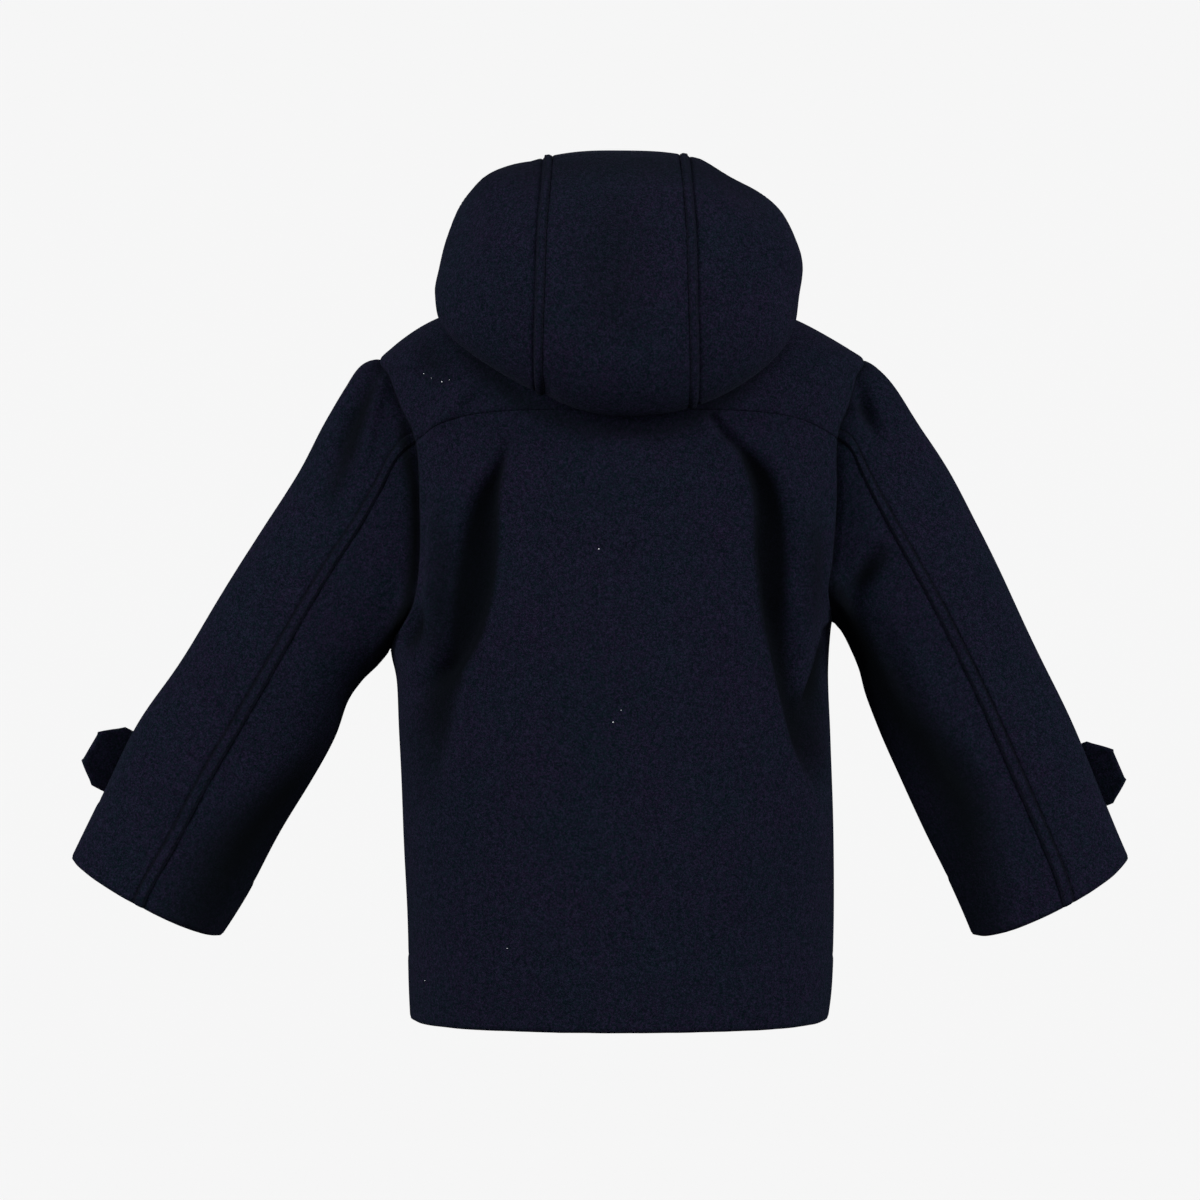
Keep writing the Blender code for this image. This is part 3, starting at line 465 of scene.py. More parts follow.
def body_patches():
    levels = body_levels()
    seam = levels.index(YOKE_SEAM)
    back = body_grid(levels, back_angles)
    return {
        "back_body": back[: seam + 1],
        "back_yoke": back[seam:],
        "front_left": body_grid(levels, front_left_angles),
        "front_right": body_grid(levels, front_right_angles),
    }


# Sleeves


def armhole_edges(patches, side):
    """The armhole's points on the back and on the front, from the shoulder tip to the underarm."""
    back = np.concatenate([patches["back_body"][:-1], patches["back_yoke"]])
    front = patches["front_" + side]
    levels = body_levels()
    first = levels.index(UNDERARM)
    last = levels.index(SHOULDER_TIP) + 1
    back_column = 0 if side == "left" else -1
    front_column = -1 if side == "left" else 0
    return back[first:last, back_column][::-1], front[first:last, front_column][::-1]


def shares_along(points):
    steps = np.linalg.norm(np.diff(points, axis=0), axis=1)
    run = np.concatenate([[0.0], np.cumsum(steps)])
    return run / run[-1]


def chord(row, side):
    """The middle of a sleeve section, and the way from there to its outer edge."""
    outward = -1 if side == "left" else 1
    outer = np.array((outward * row["outer_x"], 0.0, row["outer_z"])) * MM
    under = np.array((outward * row["under_x"], 0.0, row["under_z"])) * MM
    return (outer + under) / 2, (outer - under) / 2


def square_to(half):
    """The way square to a section's chord, in the coat's own plane."""
    turned = np.array((half[2], 0.0, -half[0]))
    return turned / np.linalg.norm(turned)


def sleeve_section_point(row, side, share):
    """A point of a sleeve section: 0 is its outer edge, 0.5 behind, 1 its under edge, 1.5 in front."""
    middle, half = chord(row, side)
    cosine = rounded(math.cos(math.pi * share))
    sine = rounded(math.sin(math.pi * share))
    depth = row["back"] if sine > 0 else row["front"]
    return middle + half * cosine + np.array((0.0, -depth * sine * MM, 0.0))


def carried_point(point, first_row, row, side):
    """A point of the armhole, carried to the same place of a later section."""
    middle, half = chord(first_row, side)
    new_middle, new_half = chord(row, side)
    offset = point - middle
    share = np.dot(offset, half) / np.dot(half, half)
    bow = np.dot(offset, square_to(half))
    carried = new_middle + new_half * share + square_to(new_half) * bow
    carried[1] = point[1] * row["back"] / first_row["back"]
    return carried


def sleeve_grid(side, first_ring, column_shares):
    """Rings from the armhole to the cuff. column_shares gives each column's share for a table row."""
    rows = SLEEVE_ROWS[side]
    first_row = dict(zip(SLEEVE_COLUMNS, rows[0]))
    rings = [first_ring]
    for values in rows[1:]:
        row = dict(zip(SLEEVE_COLUMNS, values))
        ring = []
        for point, share in zip(first_ring, column_shares(row)):
            plain = sleeve_section_point(row, side, share)
            carried = carried_point(point, first_row, row, side)
            ring.append(plain + (carried - plain) * row["armhole"])
        rings.append(ring)
    rings = np.array(rings)
    grid = np.array([smooth_between(rings, level) for level in finer(SLEEVE_LEVELS, SLEEVE_STEPS)])
    drop_rear_rim(grid, rows, CUFF_RIM_DROPS[side])
    return grid


def drop_rear_rim(grid, rows, drop):
    """The cuff's rear rim hangs slightly lower than its outer and under edges."""
    last = dict(zip(SLEEVE_COLUMNS, rows[-1]))
    for share, ring in zip(np.linspace(0, 1, SLEEVE_STEPS + 1), grid[-SLEEVE_STEPS - 1 :]):
        for point in ring:
            behind = max(-point[1] / (last["back"] * MM), 0.0)
            point[2] -= drop * MM * behind**2 * share**4


def sleeve_patches(side, patches):
    back, front = armhole_edges(patches, side)
    levels = finer(ARMHOLE_LEVELS, LEVEL_STEPS)[::-1]
    seam = levels.index(YOKE_SEAM)
    front_seam = levels.index(FRONT_SEAM_LEVEL)
    back_upper = shares_along(back[: seam + 1])
    back_under = shares_along(back[seam:])
    front_upper = shares_along(front[: front_seam + 1])
    front_under = shares_along(front[front_seam:])

    def upper_shares(row):
        behind = row["seam"] * back_upper[::-1]
        before = 2 - (2 - FRONT_SEAM_SHARE) * front_upper
        return np.concatenate([behind, before[1:]])

    def under_shares(row):
        before = FRONT_SEAM_SHARE - (FRONT_SEAM_SHARE - 1) * front_under
        behind = row["seam"] + (1 - row["seam"]) * back_under[::-1]
        return np.concatenate([before, behind[1:]])

    upper_ring = np.concatenate([back[: seam + 1][::-1], front[1 : front_seam + 1]])
    under_ring = np.concatenate([front[front_seam:], back[seam:-1][::-1]])
    return {
        "sleeve_upper_" + side: sleeve_grid(side, upper_ring, upper_shares),
        "sleeve_under_" + side: sleeve_grid(side, under_ring, under_shares),
    }


# Hood


def neck_point(angle):
    row = named_row(BODY_COLUMNS, BODY_ROWS, NECK)
    return section_point(row, angle) + np.array((0, 0, HOOD_REST))


def hood_arc(row, side):
    """Points of one half arc, from the apex out to the widest place and in to its foot."""
    mirror = -1 if side == "left" else 1
    foot_angle = row["foot"] if side == "left" else 180 - row["foot"]
    foot = neck_point(foot_angle)
    apex = np.array((0.0, row["apex_y"], row["apex_z"])) * MM
    half = row[side] * MM
    waist = apex + (foot - apex) * row["waist"]
    waist[0] = 0
    points = []
    for angle in np.linspace(0, math.pi / 2, ARC_STEPS + 1):
        point = apex + (waist - apex) * (1 - rounded(math.cos(angle), row["square"]))
        point[0] = mirror * half * rounded(math.sin(angle), row["square"])
        points.append(point)
    for angle in np.linspace(0, math.pi / 2, ARC_STEPS + 1)[1:]:
        point = waist + (foot - waist) * math.sin(angle)
        point[0] = foot[0] + (mirror * half - foot[0]) * math.cos(angle)
        points.append(point)
    points = np.array(points)
    fade = 1 - shares_along(points)
    points[:, 2] += row["lean"] * points[:, 0] * fade
    return points


def along(points, start, stop, count):
    """Points evenly spaced on a line of points, between two lengths measured along it."""
    run = lengths(points[None], 1)[0]
    places = np.linspace(start, run[-1] if stop is None else stop, count + 1)
    return on_line(places, run, points)


def seam_length(points, half_width):
    """How far along an arc the centre panel's seam lies."""
    run = lengths(points[None], 1)[0]
    widest = int(np.argmax(np.abs(points[:, 0])))
    return float(np.interp(half_width, np.abs(points[: widest + 1, 0]), run[: widest + 1]))


def hood_patches():
    grids = {"hood_centre": [], "hood_side_left": [], "hood_side_right": []}
    for level in finer(tuple(range(len(HOOD_ROWS))), HOOD_STEPS):
        row = named_row(HOOD_COLUMNS, HOOD_ROWS, level)
        halves = {}
        for side in ("left", "right"):
            arc = hood_arc(row, side)
            seam = seam_length(arc, (row["strip"] + SEAM_SHIFTS[side]) * MM)
            halves[side] = along(arc, 0.0, seam, HOOD_CENTRE_COLUMNS // 2)
            rest = along(arc, seam, None, HOOD_SIDE_COLUMNS)
            grids["hood_side_" + side].append(rest[::-1] if side == "left" else rest)
        grids["hood_centre"].append(np.concatenate([halves["left"][::-1], halves["right"][1:]]))
    return {name: np.array(grid) for name, grid in grids.items()}


def skin_tree(grids):
    """A search tree over the skins of some panels."""
    points = []
    faces = []
    for grid in grids:
        rows, columns = grid.shape[:2]
        start = len(points)
        points.extend(Vector(point) for point in grid.reshape(-1, 3))
        for i in range(rows - 1):
            for j in range(columns - 1):
                corner = start + i * columns + j
                faces.append((corner, corner + 1, corner + columns + 1, corner + columns))
    return BVHTree.FromPolygons(points, faces)


def lift_clear(grid, tree, inside, clearance):
    """Moves each point that is nearer than the clearance, or sunk in, out of the skin below it."""
    for point in grid.reshape(-1, 3):
        found, normal, _, distance = tree.find_nearest(Vector(point))
        away = np.array(normal)
        if np.dot(away, np.array(found) - inside(point)) < 0:
            away = -away
        height = np.dot(point - np.array(found), away)
        if distance < LIFT_REACH and height < clearance:
            point += away * (clearance - height)
    return grid


def body_inside(point):
    """A place inside the body, on its upright middle line and lower than the point."""
    return np.array((0.0, 0.0, point[2] - 60 * MM))


# Cloth


class Panel:
    """One panel of cloth: a grid of points on its outer skin, and how far each lies from the edges."""

    def __init__(self, name, grid, inside):
        self.name = name
        self.base = grid
        self.across = lengths(grid, 1)
        self.down = lengths(grid, 0)
        across_back = self.across[:, -1:] - self.across
        self.edges = (self.across, across_back, self.down, self.down[-1:] - self.down)
        self.kinds = for_panel(PANEL_EDGES, name)
        self.sign = 1.0
        own = self.normals(self.base)
        middle = self.base.reshape(-1, 3)
        self.sign = 1.0 if (own.reshape(-1, 3) * (middle - inside(middle))).sum() > 0 else -1.0
        self.lead = own * self.sign
        self.outer = self.base

    def normals(self, grid):
        turned = np.cross(np.gradient(grid, axis=1), np.gradient(grid, axis=0))
        return turned / np.maximum(np.linalg.norm(turned, axis=2, keepdims=True), 1e-12) * self.sign

    def border(self):
        """The places of the grid's outer ring, as rows and columns."""
        rows, columns = self.base.shape[:2]
        ring = [(0, j) for j in range(columns - 1)]
        ring += [(i, columns - 1) for i in range(rows - 1)]
        ring += [(rows - 1, j) for j in range(columns - 1, 0, -1)]
        ring += [(i, 0) for i in range(rows - 1, 0, -1)]
        return ring


def for_panel(table, name):
    """A panel's entry in a table, which may be under the name that its left and right share."""
    return table.get(name) or table[name.rsplit("_", 1)[0]]


MEETING_REACH = 2.5 * MM
MEETING_FADE = 9.0 * MM


def meet(panels, fields):
    """Where panels meet, gives their border points one shared direction, which fades out inwards."""
    places = [(name, i, j) for name, panel in panels.items() for i, j in panel.border()]
    tree = KDTree(len(places))
    for index, (name, i, j) in enumerate(places):
        tree.insert(panels[name].base[i, j], index)
    tree.balance()
    made = {}
    for name, panel in panels.items():
        field = fields[name]
        shared = field.copy()
        for i, j in panel.border():
            nearest = {}
            for _, index, distance in tree.find_range(panel.base[i, j], MEETING_REACH):
                other, k, m = places[index]
                if other != name and distance < nearest.get(other, (1.0,))[0]:
                    nearest[other] = (distance, fields[other][k, m])
            total = field[i, j] + sum((value for _, value in nearest.values()), np.zeros(3))
            shared[i, j] = total / np.linalg.norm(total)
        rows, columns = field.shape[:2]
        change = np.zeros_like(field)
        weight = np.zeros(field.shape[:2] + (1,))
        edges = (
            (shared - field)[:, :1].repeat(columns, 1),
            (shared - field)[:, -1:].repeat(columns, 1),
            (shared - field)[:1].repeat(rows, 0),
            (shared - field)[-1:].repeat(rows, 0),
        )
        for difference, distance in zip(edges, panel.edges):
            near = np.exp(-((distance / MEETING_FADE) ** 2))[:, :, None]
            near = np.maximum(near, 1e-9) ** 1.5
            change += difference * near
            weight += near
        mixed = field + change / np.maximum(weight, 1.0)
        for i, j in panel.border():
            mixed[i, j] = shared[i, j]
        made[name] = mixed / np.linalg.norm(mixed, axis=2, keepdims=True)
    return made


# How far past a fold's inner crest its painted shade reaches, and how deep a fold is where the
# painted shade starts, in millimetres
FOLD_EDGE_SHADE = 7.0
FOLD_SHADE_START = 1.8
# How dark a fold's painted shade is at most, and the painted shade of any place
FOLD_SHADE_MOST = 0.9
SHADE_MOST = 0.97
# How far forward of the middle plane the shades end, and how far from it the folds are whole
SHADES_END = 20 * MM
FOLDS_WHOLE = 24 * MM


def fold_line(rows):
    levels = np.linspace(0, len(rows) - 1, 4 * (len(rows) - 1) + 1)
    return np.array([smooth_between(rows, level) for level in levels])


def fold_depth(points, rows, widen):
    """How deep one fold is at each point, in metres. Only x and z count; widen is for its inner side."""
    line = fold_line(rows)
    flat = points[:, (0, 2)] / MM
    deepest = np.zeros(len(flat))
    nearest = np.full(len(flat), np.inf)
    side = 1.0 if line[:, 0].mean() > 0 else -1.0
    for start, stop in zip(line, line[1:]):
        way = stop[:2] - start[:2]
        offset = flat - start[:2]
        share = np.clip(offset @ way / (way @ way), 0, 1)
        across = np.linalg.norm(offset - share[:, None] * way, axis=1)
        _, _, depth, inner, outer = start[:, None] + (stop - start)[:, None] * share
        turned = (way[0] * offset[:, 1] - way[1] * offset[:, 0]) * side
        reach = np.where(turned > 0, outer, inner + widen)
        closer = across < nearest
        nearest = np.where(closer, across, nearest)
        deepest = np.where(closer, depth * (1 - smooth_step(across / reach)), deepest)
    return deepest * MM


def folds(points, tables, widen=0.0):
    total = np.zeros(len(points))
    for rows in tables:
        total += fold_depth(points, rows, widen)
    return total


def shades(panel):
    """How much painted shade each point gets from the shade tables, from 0 to 1, on the side seen from
    behind.
    """
    points = panel.base.reshape(-1, 3)
    if panel.name.startswith("hood"):
        tables = HOOD_SHADES
    else:
        tables = SLEEVE_SHADES if panel.name.startswith("sleeve") else BACK_SHADES
    behind = smooth_step((SHADES_END - points[:, 1]) / SHADES_END)
    return (folds(points, tables) / MM * behind).reshape(panel.base.shape[:2])


# Slow waves of slack cloth: the way each runs, its length in millimetres and its share
WAVES = (
    ((0.9, 0.3, 0.35), 148, 0.34),
    ((-0.4, 0.5, 0.8), 117, 0.26),
    ((0.3, -0.8, 0.9), 83, 0.20),
    ((1.0, 0.6, -0.5), 61, 0.12),
    ((-0.7, 0.9, 0.2), 43, 0.08),
)
WAVE_OFFSET = 1.7
# How uneven the seams are, and how much shorter their waves
SEAM_UNEVEN = 0.35
SEAM_WAVES = 6.0


def slack(points):
    """Uneven slow waves, from -1 to 1."""
    total = np.zeros(len(points))
    for number, (way, length, share) in enumerate(WAVES):
        way = np.array(way) / np.linalg.norm(way)
        total += share * np.sin(points @ way * math.tau / (length * MM) + WAVE_OFFSET * number)
    return total


def bump_at(distance, centre, width):
    return np.exp(-(((distance - centre) / width) ** 2))


# Painted shade in the groove beside an edge, for each kind: distance and width in millimetres, share
SEAM_SHADES = {
    "free": (),
    "side": ((0.0, 1.0, 0.55),),
    "seam": ((0.0, 1.1, 0.55),),
    "strip": ((0.0, 1.3, 0.5), (7.6, 1.2, 0.75)),
    "hood_strip": ((0.0, 1.2, 0.4), (6.0, 1.2, 0.4)),
    "under": ((0.0, 2.4, 0.65),),
    "under_seam": ((0.0, 1.2, 0.25),),
    "over_seam": ((0.0, 0.8, 0.15),),
}


def edge_height(kind, distance, level_share, sizes):
    """How high the cloth stands near one edge, for the way that edge is finished."""
    groove = sizes.seam_groove
    line = bump_at(distance, 0.0, 0.8 * MM)
    if kind == "free":
        return -0.5 * MM * bump_at(distance, 0.0, 0.9 * MM)
    if kind in ("strip", "hood_strip"):
        width = sizes.strip_width if kind == "strip" else sizes.hood_strip_width
        raised = smooth_step(distance / (1.2 * MM)) - smooth_step((distance - width) / (1.2 * MM))
        beyond = bump_at(distance, width + 0.6 * MM, 0.9 * MM)
        return sizes.strip_rise * raised - 0.9 * groove * beyond - 0.6 * groove * line
    if kind == "under":
        return -sizes.armhole_dip * bump_at(distance, 0.0, 4.0 * MM)
    if kind == "under_seam":
        return -0.45 * groove * bump_at(distance, 0.0, 1.8 * MM)
    if kind == "over_seam":
        return 0.45 * MM * bump_at(distance, 3.0 * MM, 3.2 * MM) - 0.3 * groove * line
    plain = -groove * bump_at(distance, 0.0, 1.5 * MM)
    if kind == "side":
        rolled = 0.8 * MM * bump_at(distance, 3.2 * MM, 3.5 * MM)
        rolled -= 0.7 * MM * bump_at(distance, 0.0, 1.0 * MM)
        return plain + (rolled - plain) * level_share
    return plain


# The armhole's lowest and highest heights in millimetres, and over what length each starts and ends
ARMHOLE_LOW = {"left": -219, "right": -201}
ARMHOLE_TOP = -8
ARMHOLE_LOW_FADE = 12
ARMHOLE_TOP_FADE = 8


def armhole_share(panel):
    """1 beside the armhole and 0 beside the side and shoulder seams, for each point."""
    z = panel.base[:, :, 2] / MM
    falls = smooth_step((ARMHOLE_TOP - z) / ARMHOLE_TOP_FADE)
    share = np.zeros_like(z)
    for side, mirror in (("left", -1), ("right", 1)):
        here = panel.base[:, :, 0] * mirror > 0
        rises = smooth_step((z - ARMHOLE_LOW[side]) / ARMHOLE_LOW_FADE)
        share = np.where(here, rises * falls, share)
    return share


def main_folds(panel, widen=0.0):
    points = panel.base.reshape(-1, 3)
    sleeve = panel.name.startswith("sleeve")
    if panel.name.startswith("hood"):
        return folds(points, HOOD_FOLDS, widen).reshape(panel.base.shape[:2])
    behind = smooth_step(-points[:, 1] / FOLDS_WHOLE)
    before = smooth_step(points[:, 1] / FOLDS_WHOLE)
    back = folds(points, SLEEVE_BACK_FOLDS if sleeve else BACK_FOLDS, widen)
    front = folds(points, SLEEVE_FRONT_FOLDS if sleeve else FRONT_FOLDS, widen)
    return (back * behind + front * before).reshape(panel.base.shape[:2])


def turned_edge(panel, sizes):
    """How far each point lies from the panel's turned edge, and how deep the turn-up is."""
    if panel.name.startswith("hood"):
        return panel.edges[2], sizes.face_band
    if panel.name.startswith("sleeve"):
        return panel.edges[3], sizes.hem_depth
    if panel.name == "back_yoke":
        return np.full(panel.base.shape[:2], np.inf), 0.0
    return panel.edges[2], sizes.hem_depth


def turned_band(panel, sizes):
    """The turned-up hem, and the stitched bands of the cuffs and the hood's face edge."""
    distance, width = turned_edge(panel, sizes)
    step = 1 - smooth_step((distance - width + 2 * MM) / (4 * MM))
    line = bump_at(distance, width + 1 * MM, 1.8 * MM)
    return sizes.band_rise * step - 0.6 * sizes.band_rise * line


def heights(panel, sizes):
    base = panel.base.reshape(-1, 3)
    deep = main_folds(panel)
    # Painted shade: fold hollows, the shade tables and the seam grooves darken the felt's colour
    shade_depth = main_folds(panel, FOLD_EDGE_SHADE) / MM
    fold_pressed = smooth_step((shade_depth - FOLD_SHADE_START) / sizes.fold_shade)
    panel.pressed = SHADE_MOST * (1 - (1 - FOLD_SHADE_MOST * fold_pressed) * (1 - shades(panel)))
    for kind, distance in zip(panel.kinds, panel.edges):
        for place, width, share in SEAM_SHADES[kind]:
            line = share * bump_at(distance, place * MM, width * MM)
            panel.pressed = np.maximum(panel.pressed, line)
    total = -sizes.fold_strength * deep
    if panel.name.startswith("hood"):
        total -= folds(base, HOOD_DENTS).reshape(total.shape)
    total += sizes.slack_height * slack(base).reshape(total.shape)
    total += turned_band(panel, sizes)
    share = armhole_share(panel)
    uneven = 1 + SEAM_UNEVEN * slack(base * SEAM_WAVES).reshape(total.shape)
    for kind, distance in zip(panel.kinds, panel.edges):
        total += edge_height(kind, distance, share, sizes) * uneven
    return total


def inward_steps(border, inner, normals):
    """For each point of one edge, the way into the panel, square to the edge and along the cloth."""
    ahead = np.concatenate([border[1:], border[-1:]])
    behind = np.concatenate([border[:1], border[:-1]])
    steps = np.cross(normals, ahead - behind)
    steps /= np.maximum(np.linalg.norm(steps, axis=1, keepdims=True), 1e-12)
    sides = np.sign((steps * (inner - border)).sum(axis=1, keepdims=True))
    return steps * sides


def edge_ways(grid, normals, amounts=(1.0, 1.0, 1.0, 1.0)):
    """The way into the panel at each border point, times each edge's amount, and nothing elsewhere."""
    ways = np.zeros_like(grid)
    for border, inner, column, row in ((0, 1, 0, 2), (-1, -2, 1, 3)):
        ways[border] += inward_steps(grid[border], grid[inner], normals[border]) * amounts[row]
        sideways = inward_steps(grid[:, border], grid[:, inner], normals[:, border])
        ways[:, border] += sideways * amounts[column]
    return ways


def thickness(panel, sizes):
    """The wall, which is thicker at the turned-up hem, the cuffs and the hood's face edge."""
    distance, width = turned_edge(panel, sizes)
    extra = 1 - smooth_step((distance - width) / (3 * MM))
    return sizes.wall + sizes.turn_up * extra


def nearest_on(line):
    """Gives, for any points, the nearest places of a line of points."""

    def nearest(points):
        apart = np.linalg.norm(points[..., None, :] - line, axis=-1)
        return line[np.argmin(apart, axis=-1)]

    return nearest


def fixed_inside(x, y, z):
    """Gives one place inside a panel's hollow, in millimetres here, for any points."""
    place = np.array((x, y, z)) * MM
    return lambda points: place


def even_panel(name, grid, inside):
    """A panel whose points are set out evenly, with lines of them along its edges."""
    return Panel(name, respaced(respaced(grid, 1), 0), inside)


@functools.cache
def cloth_panels():
    """Every cloth panel but the tabs, with its outer and inner skin, worked out once."""
    sizes = bpy.context.scene.coat_sizes
    body = body_patches()
    insides = {name: fixed_inside(0, 0, -200) for name in body}
    grids = dict(body)
    for side in ("left", "right"):
        sleeve = sleeve_patches(side, body)
        grids.update(sleeve)
        middle = np.concatenate(list(sleeve.values()), axis=1).mean(axis=1)
        insides.update({name: nearest_on(middle) for name in sleeve})
    panels = {name: even_panel(name, grid, insides[name]) for name, grid in grids.items()}
    dress(panels, sizes)
    hood = hood_patches()
    body_tree = skin_tree([panel.outer for name, panel in panels.items() if name in body])
    for grid in hood.values():
        lift_clear(grid, body_tree, body_inside, HOOD_REST)
    hood_panels = {name: even_panel(name, grid, fixed_inside(0, -75, 10)) for name, grid in hood.items()}
    dress(hood_panels, sizes)
    panels.update(hood_panels)
    return panels


# The edges that are sewn together round the neck, numbered like those in PANEL_EDGES
BODY_NECK_EDGES = {"back_yoke": (3,), "front_left": (3,), "front_right": (3,)}
HOOD_NECK_EDGES = {"hood_centre": (3,), "hood_side_left": (0, 3), "hood_side_right": (1, 3)}
# Where each of a panel's four edges lies in its grid
EDGE_PLACES = ((slice(None), 0), (slice(None), -1), 0, -1)


def dress(panels, sizes):
    """Gives panels that are sewn together their folds, seams and thickness."""
    leads = meet(panels, {name: panel.lead for name, panel in panels.items()})
    for name, panel in panels.items():
        panel.lead = leads[name]
        raised = heights(panel, sizes)
        if name == "front_left":
            start = sizes.lap_half + sizes.lap_margin + sizes.lap_blend
            past = (panel.base[:, :, 0] + start) / sizes.lap_blend
            raised = raised + smooth_step(past) * (sizes.wall + sizes.lap_rest)
        reaches = [sizes.seam_overlap / 2] * 4
        for edge in BODY_NECK_EDGES.get(name, ()):
            reaches[edge] = sizes.neck_overlap
        grown = -edge_ways(panel.base, panel.lead, reaches)
        for edge in HOOD_NECK_EDGES.get(name, ()):
            grown[EDGE_PLACES[edge]] = (0, 0, -sizes.neck_drop)
        panel.outer = panel.base + grown + panel.lead * raised[:, :, None]
    finals = meet(panels, {name: panel.normals(panel.outer) for name, panel in panels.items()})
    for name, panel in panels.items():
        depth = np.broadcast_to(thickness(panel, sizes), panel.base.shape[:2])
        panel.inner = panel.outer - finals[name] * depth[:, :, None]
        panel.final = finals[name]


def linked(name, data):
    """A new object in the scene, made of a mesh, a lamp or a camera."""
    obj = bpy.data.objects.new(name, data)
    bpy.context.scene.collection.objects.link(obj)
    return obj


def cloth_object(panel, surface, round_edges):
    """A closed wall between a panel's two skins, with rims moved out by round_edges, and a UV map."""
    outer, inner = panel.outer, panel.inner
    ring = panel.border()
    rows, columns = outer.shape[:2]
    count = rows * columns
    number = np.arange(count).reshape(rows, columns)
    middles = (outer + inner) / 2 - round_edges
    rim = np.array([middles[i, j] for i, j in ring])
    points = np.concatenate([outer.reshape(-1, 3), inner.reshape(-1, 3), rim])
    cells = np.stack([number[:-1, :-1], number[:-1, 1:], number[1:, 1:], number[1:, :-1]], axis=2)
    cells = cells.reshape(-1, 4)
    faces = [cells, cells[:, ::-1] + count]
    border = np.array([number[i, j] for i, j in ring])
    after = np.roll(border, -1)
    edge = 2 * count + np.arange(len(ring))
    edge_after = np.roll(edge, -1)
    faces.append(np.stack([edge, edge_after, after, border], axis=1))
    faces.append(np.stack([border + count, after + count, edge_after, edge], axis=1))
    faces = np.concatenate(faces)
    if panel.sign > 0:
        faces = faces[:, ::-1]
    name = panel.name + "_cloth"
    data = bpy.data.meshes.new(name)
    data.from_pydata(points.tolist(), [], faces.tolist())
    flat = np.stack([panel.across.reshape(-1), panel.down.reshape(-1)], axis=1)
    flat = np.concatenate([flat, flat, np.array([flat[value] for value in border])])
    layer = data.uv_layers.new(name="cloth")
    layer.data.foreach_set("uv", flat[faces.reshape(-1)].reshape(-1))
    # Each point's painted shade, which darkens the felt's colour
    rim_pressed = np.array([panel.pressed[i, j] for i, j in ring])
    layer = data.attributes.new("pressed", "FLOAT", "POINT")
    layer.data.foreach_set("value", np.concatenate([panel.pressed.reshape(-1)] * 2 + [rim_pressed]))
    data.materials.append(surface)
    data.shade_smooth()
    return linked(name, data)


# How far a free edge's rim bulges out, as a share of the wall there
RIM_BULGE = 0.4


def panel_object(panel, surface):
    """A panel's cloth, with rims that bulge where its edges are free."""
    ways = edge_ways(panel.outer, panel.final)
    bulge = np.zeros_like(panel.outer)
    for kind, place in zip(panel.kinds, EDGE_PLACES):
        if kind == "free":
            apart = np.linalg.norm(panel.outer[place] - panel.inner[place], axis=1, keepdims=True)
            bulge[place] = ways[place] * apart * RIM_BULGE
    return cloth_object(panel, surface, bulge)


def add_sheet(obj, node):
    """Attaches a cloth piece to the root, and hides the solid that it stands for."""
    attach(obj, "root")
    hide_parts(node)


def add_panels(names):
    surface = wool_surface()
    for name in names:
        add_sheet(panel_object(cloth_panels()[name], surface), name)


# Surfaces


def opaque(colour):
    return tuple(colour)[:3] + (1.0,)


def new_surface(name):
    made = bpy.data.materials.new(name)
    made.use_nodes = True
    nodes = made.node_tree.nodes
    return made, nodes, made.node_tree.links, nodes["Principled BSDF"]


def noise(nodes, links, place, scale, detail, rough=0.5):
    node = nodes.new("ShaderNodeTexNoise")
    node.inputs["Scale"].default_value = scale
    node.inputs["Detail"].default_value = detail
    node.inputs["Roughness"].default_value = rough
    links.new(place, node.inputs["Vector"])
    return node.outputs["Fac"]


def ramp(nodes, links, value, stops):
    node = nodes.new("ShaderNodeValToRGB")
    elements = node.color_ramp.elements
    while len(elements) < len(stops):
        elements.new(0.5)
    for element, (place, colour) in zip(elements, stops):
        element.position = place
        element.color = opaque(colour)
    links.new(value, node.inputs["Fac"])
    return node.outputs["Color"]


def mixed(nodes, links, factor, first, second, blend="MIX"):
    node = nodes.new("ShaderNodeMix")
    node.data_type = "RGBA"
    node.blend_type = blend
    if isinstance(factor, float):
        node.inputs[0].default_value = factor
    else:
        links.new(factor, node.inputs[0])
    links.new(first, node.inputs[6])
    links.new(second, node.inputs[7])
    return node.outputs[2]


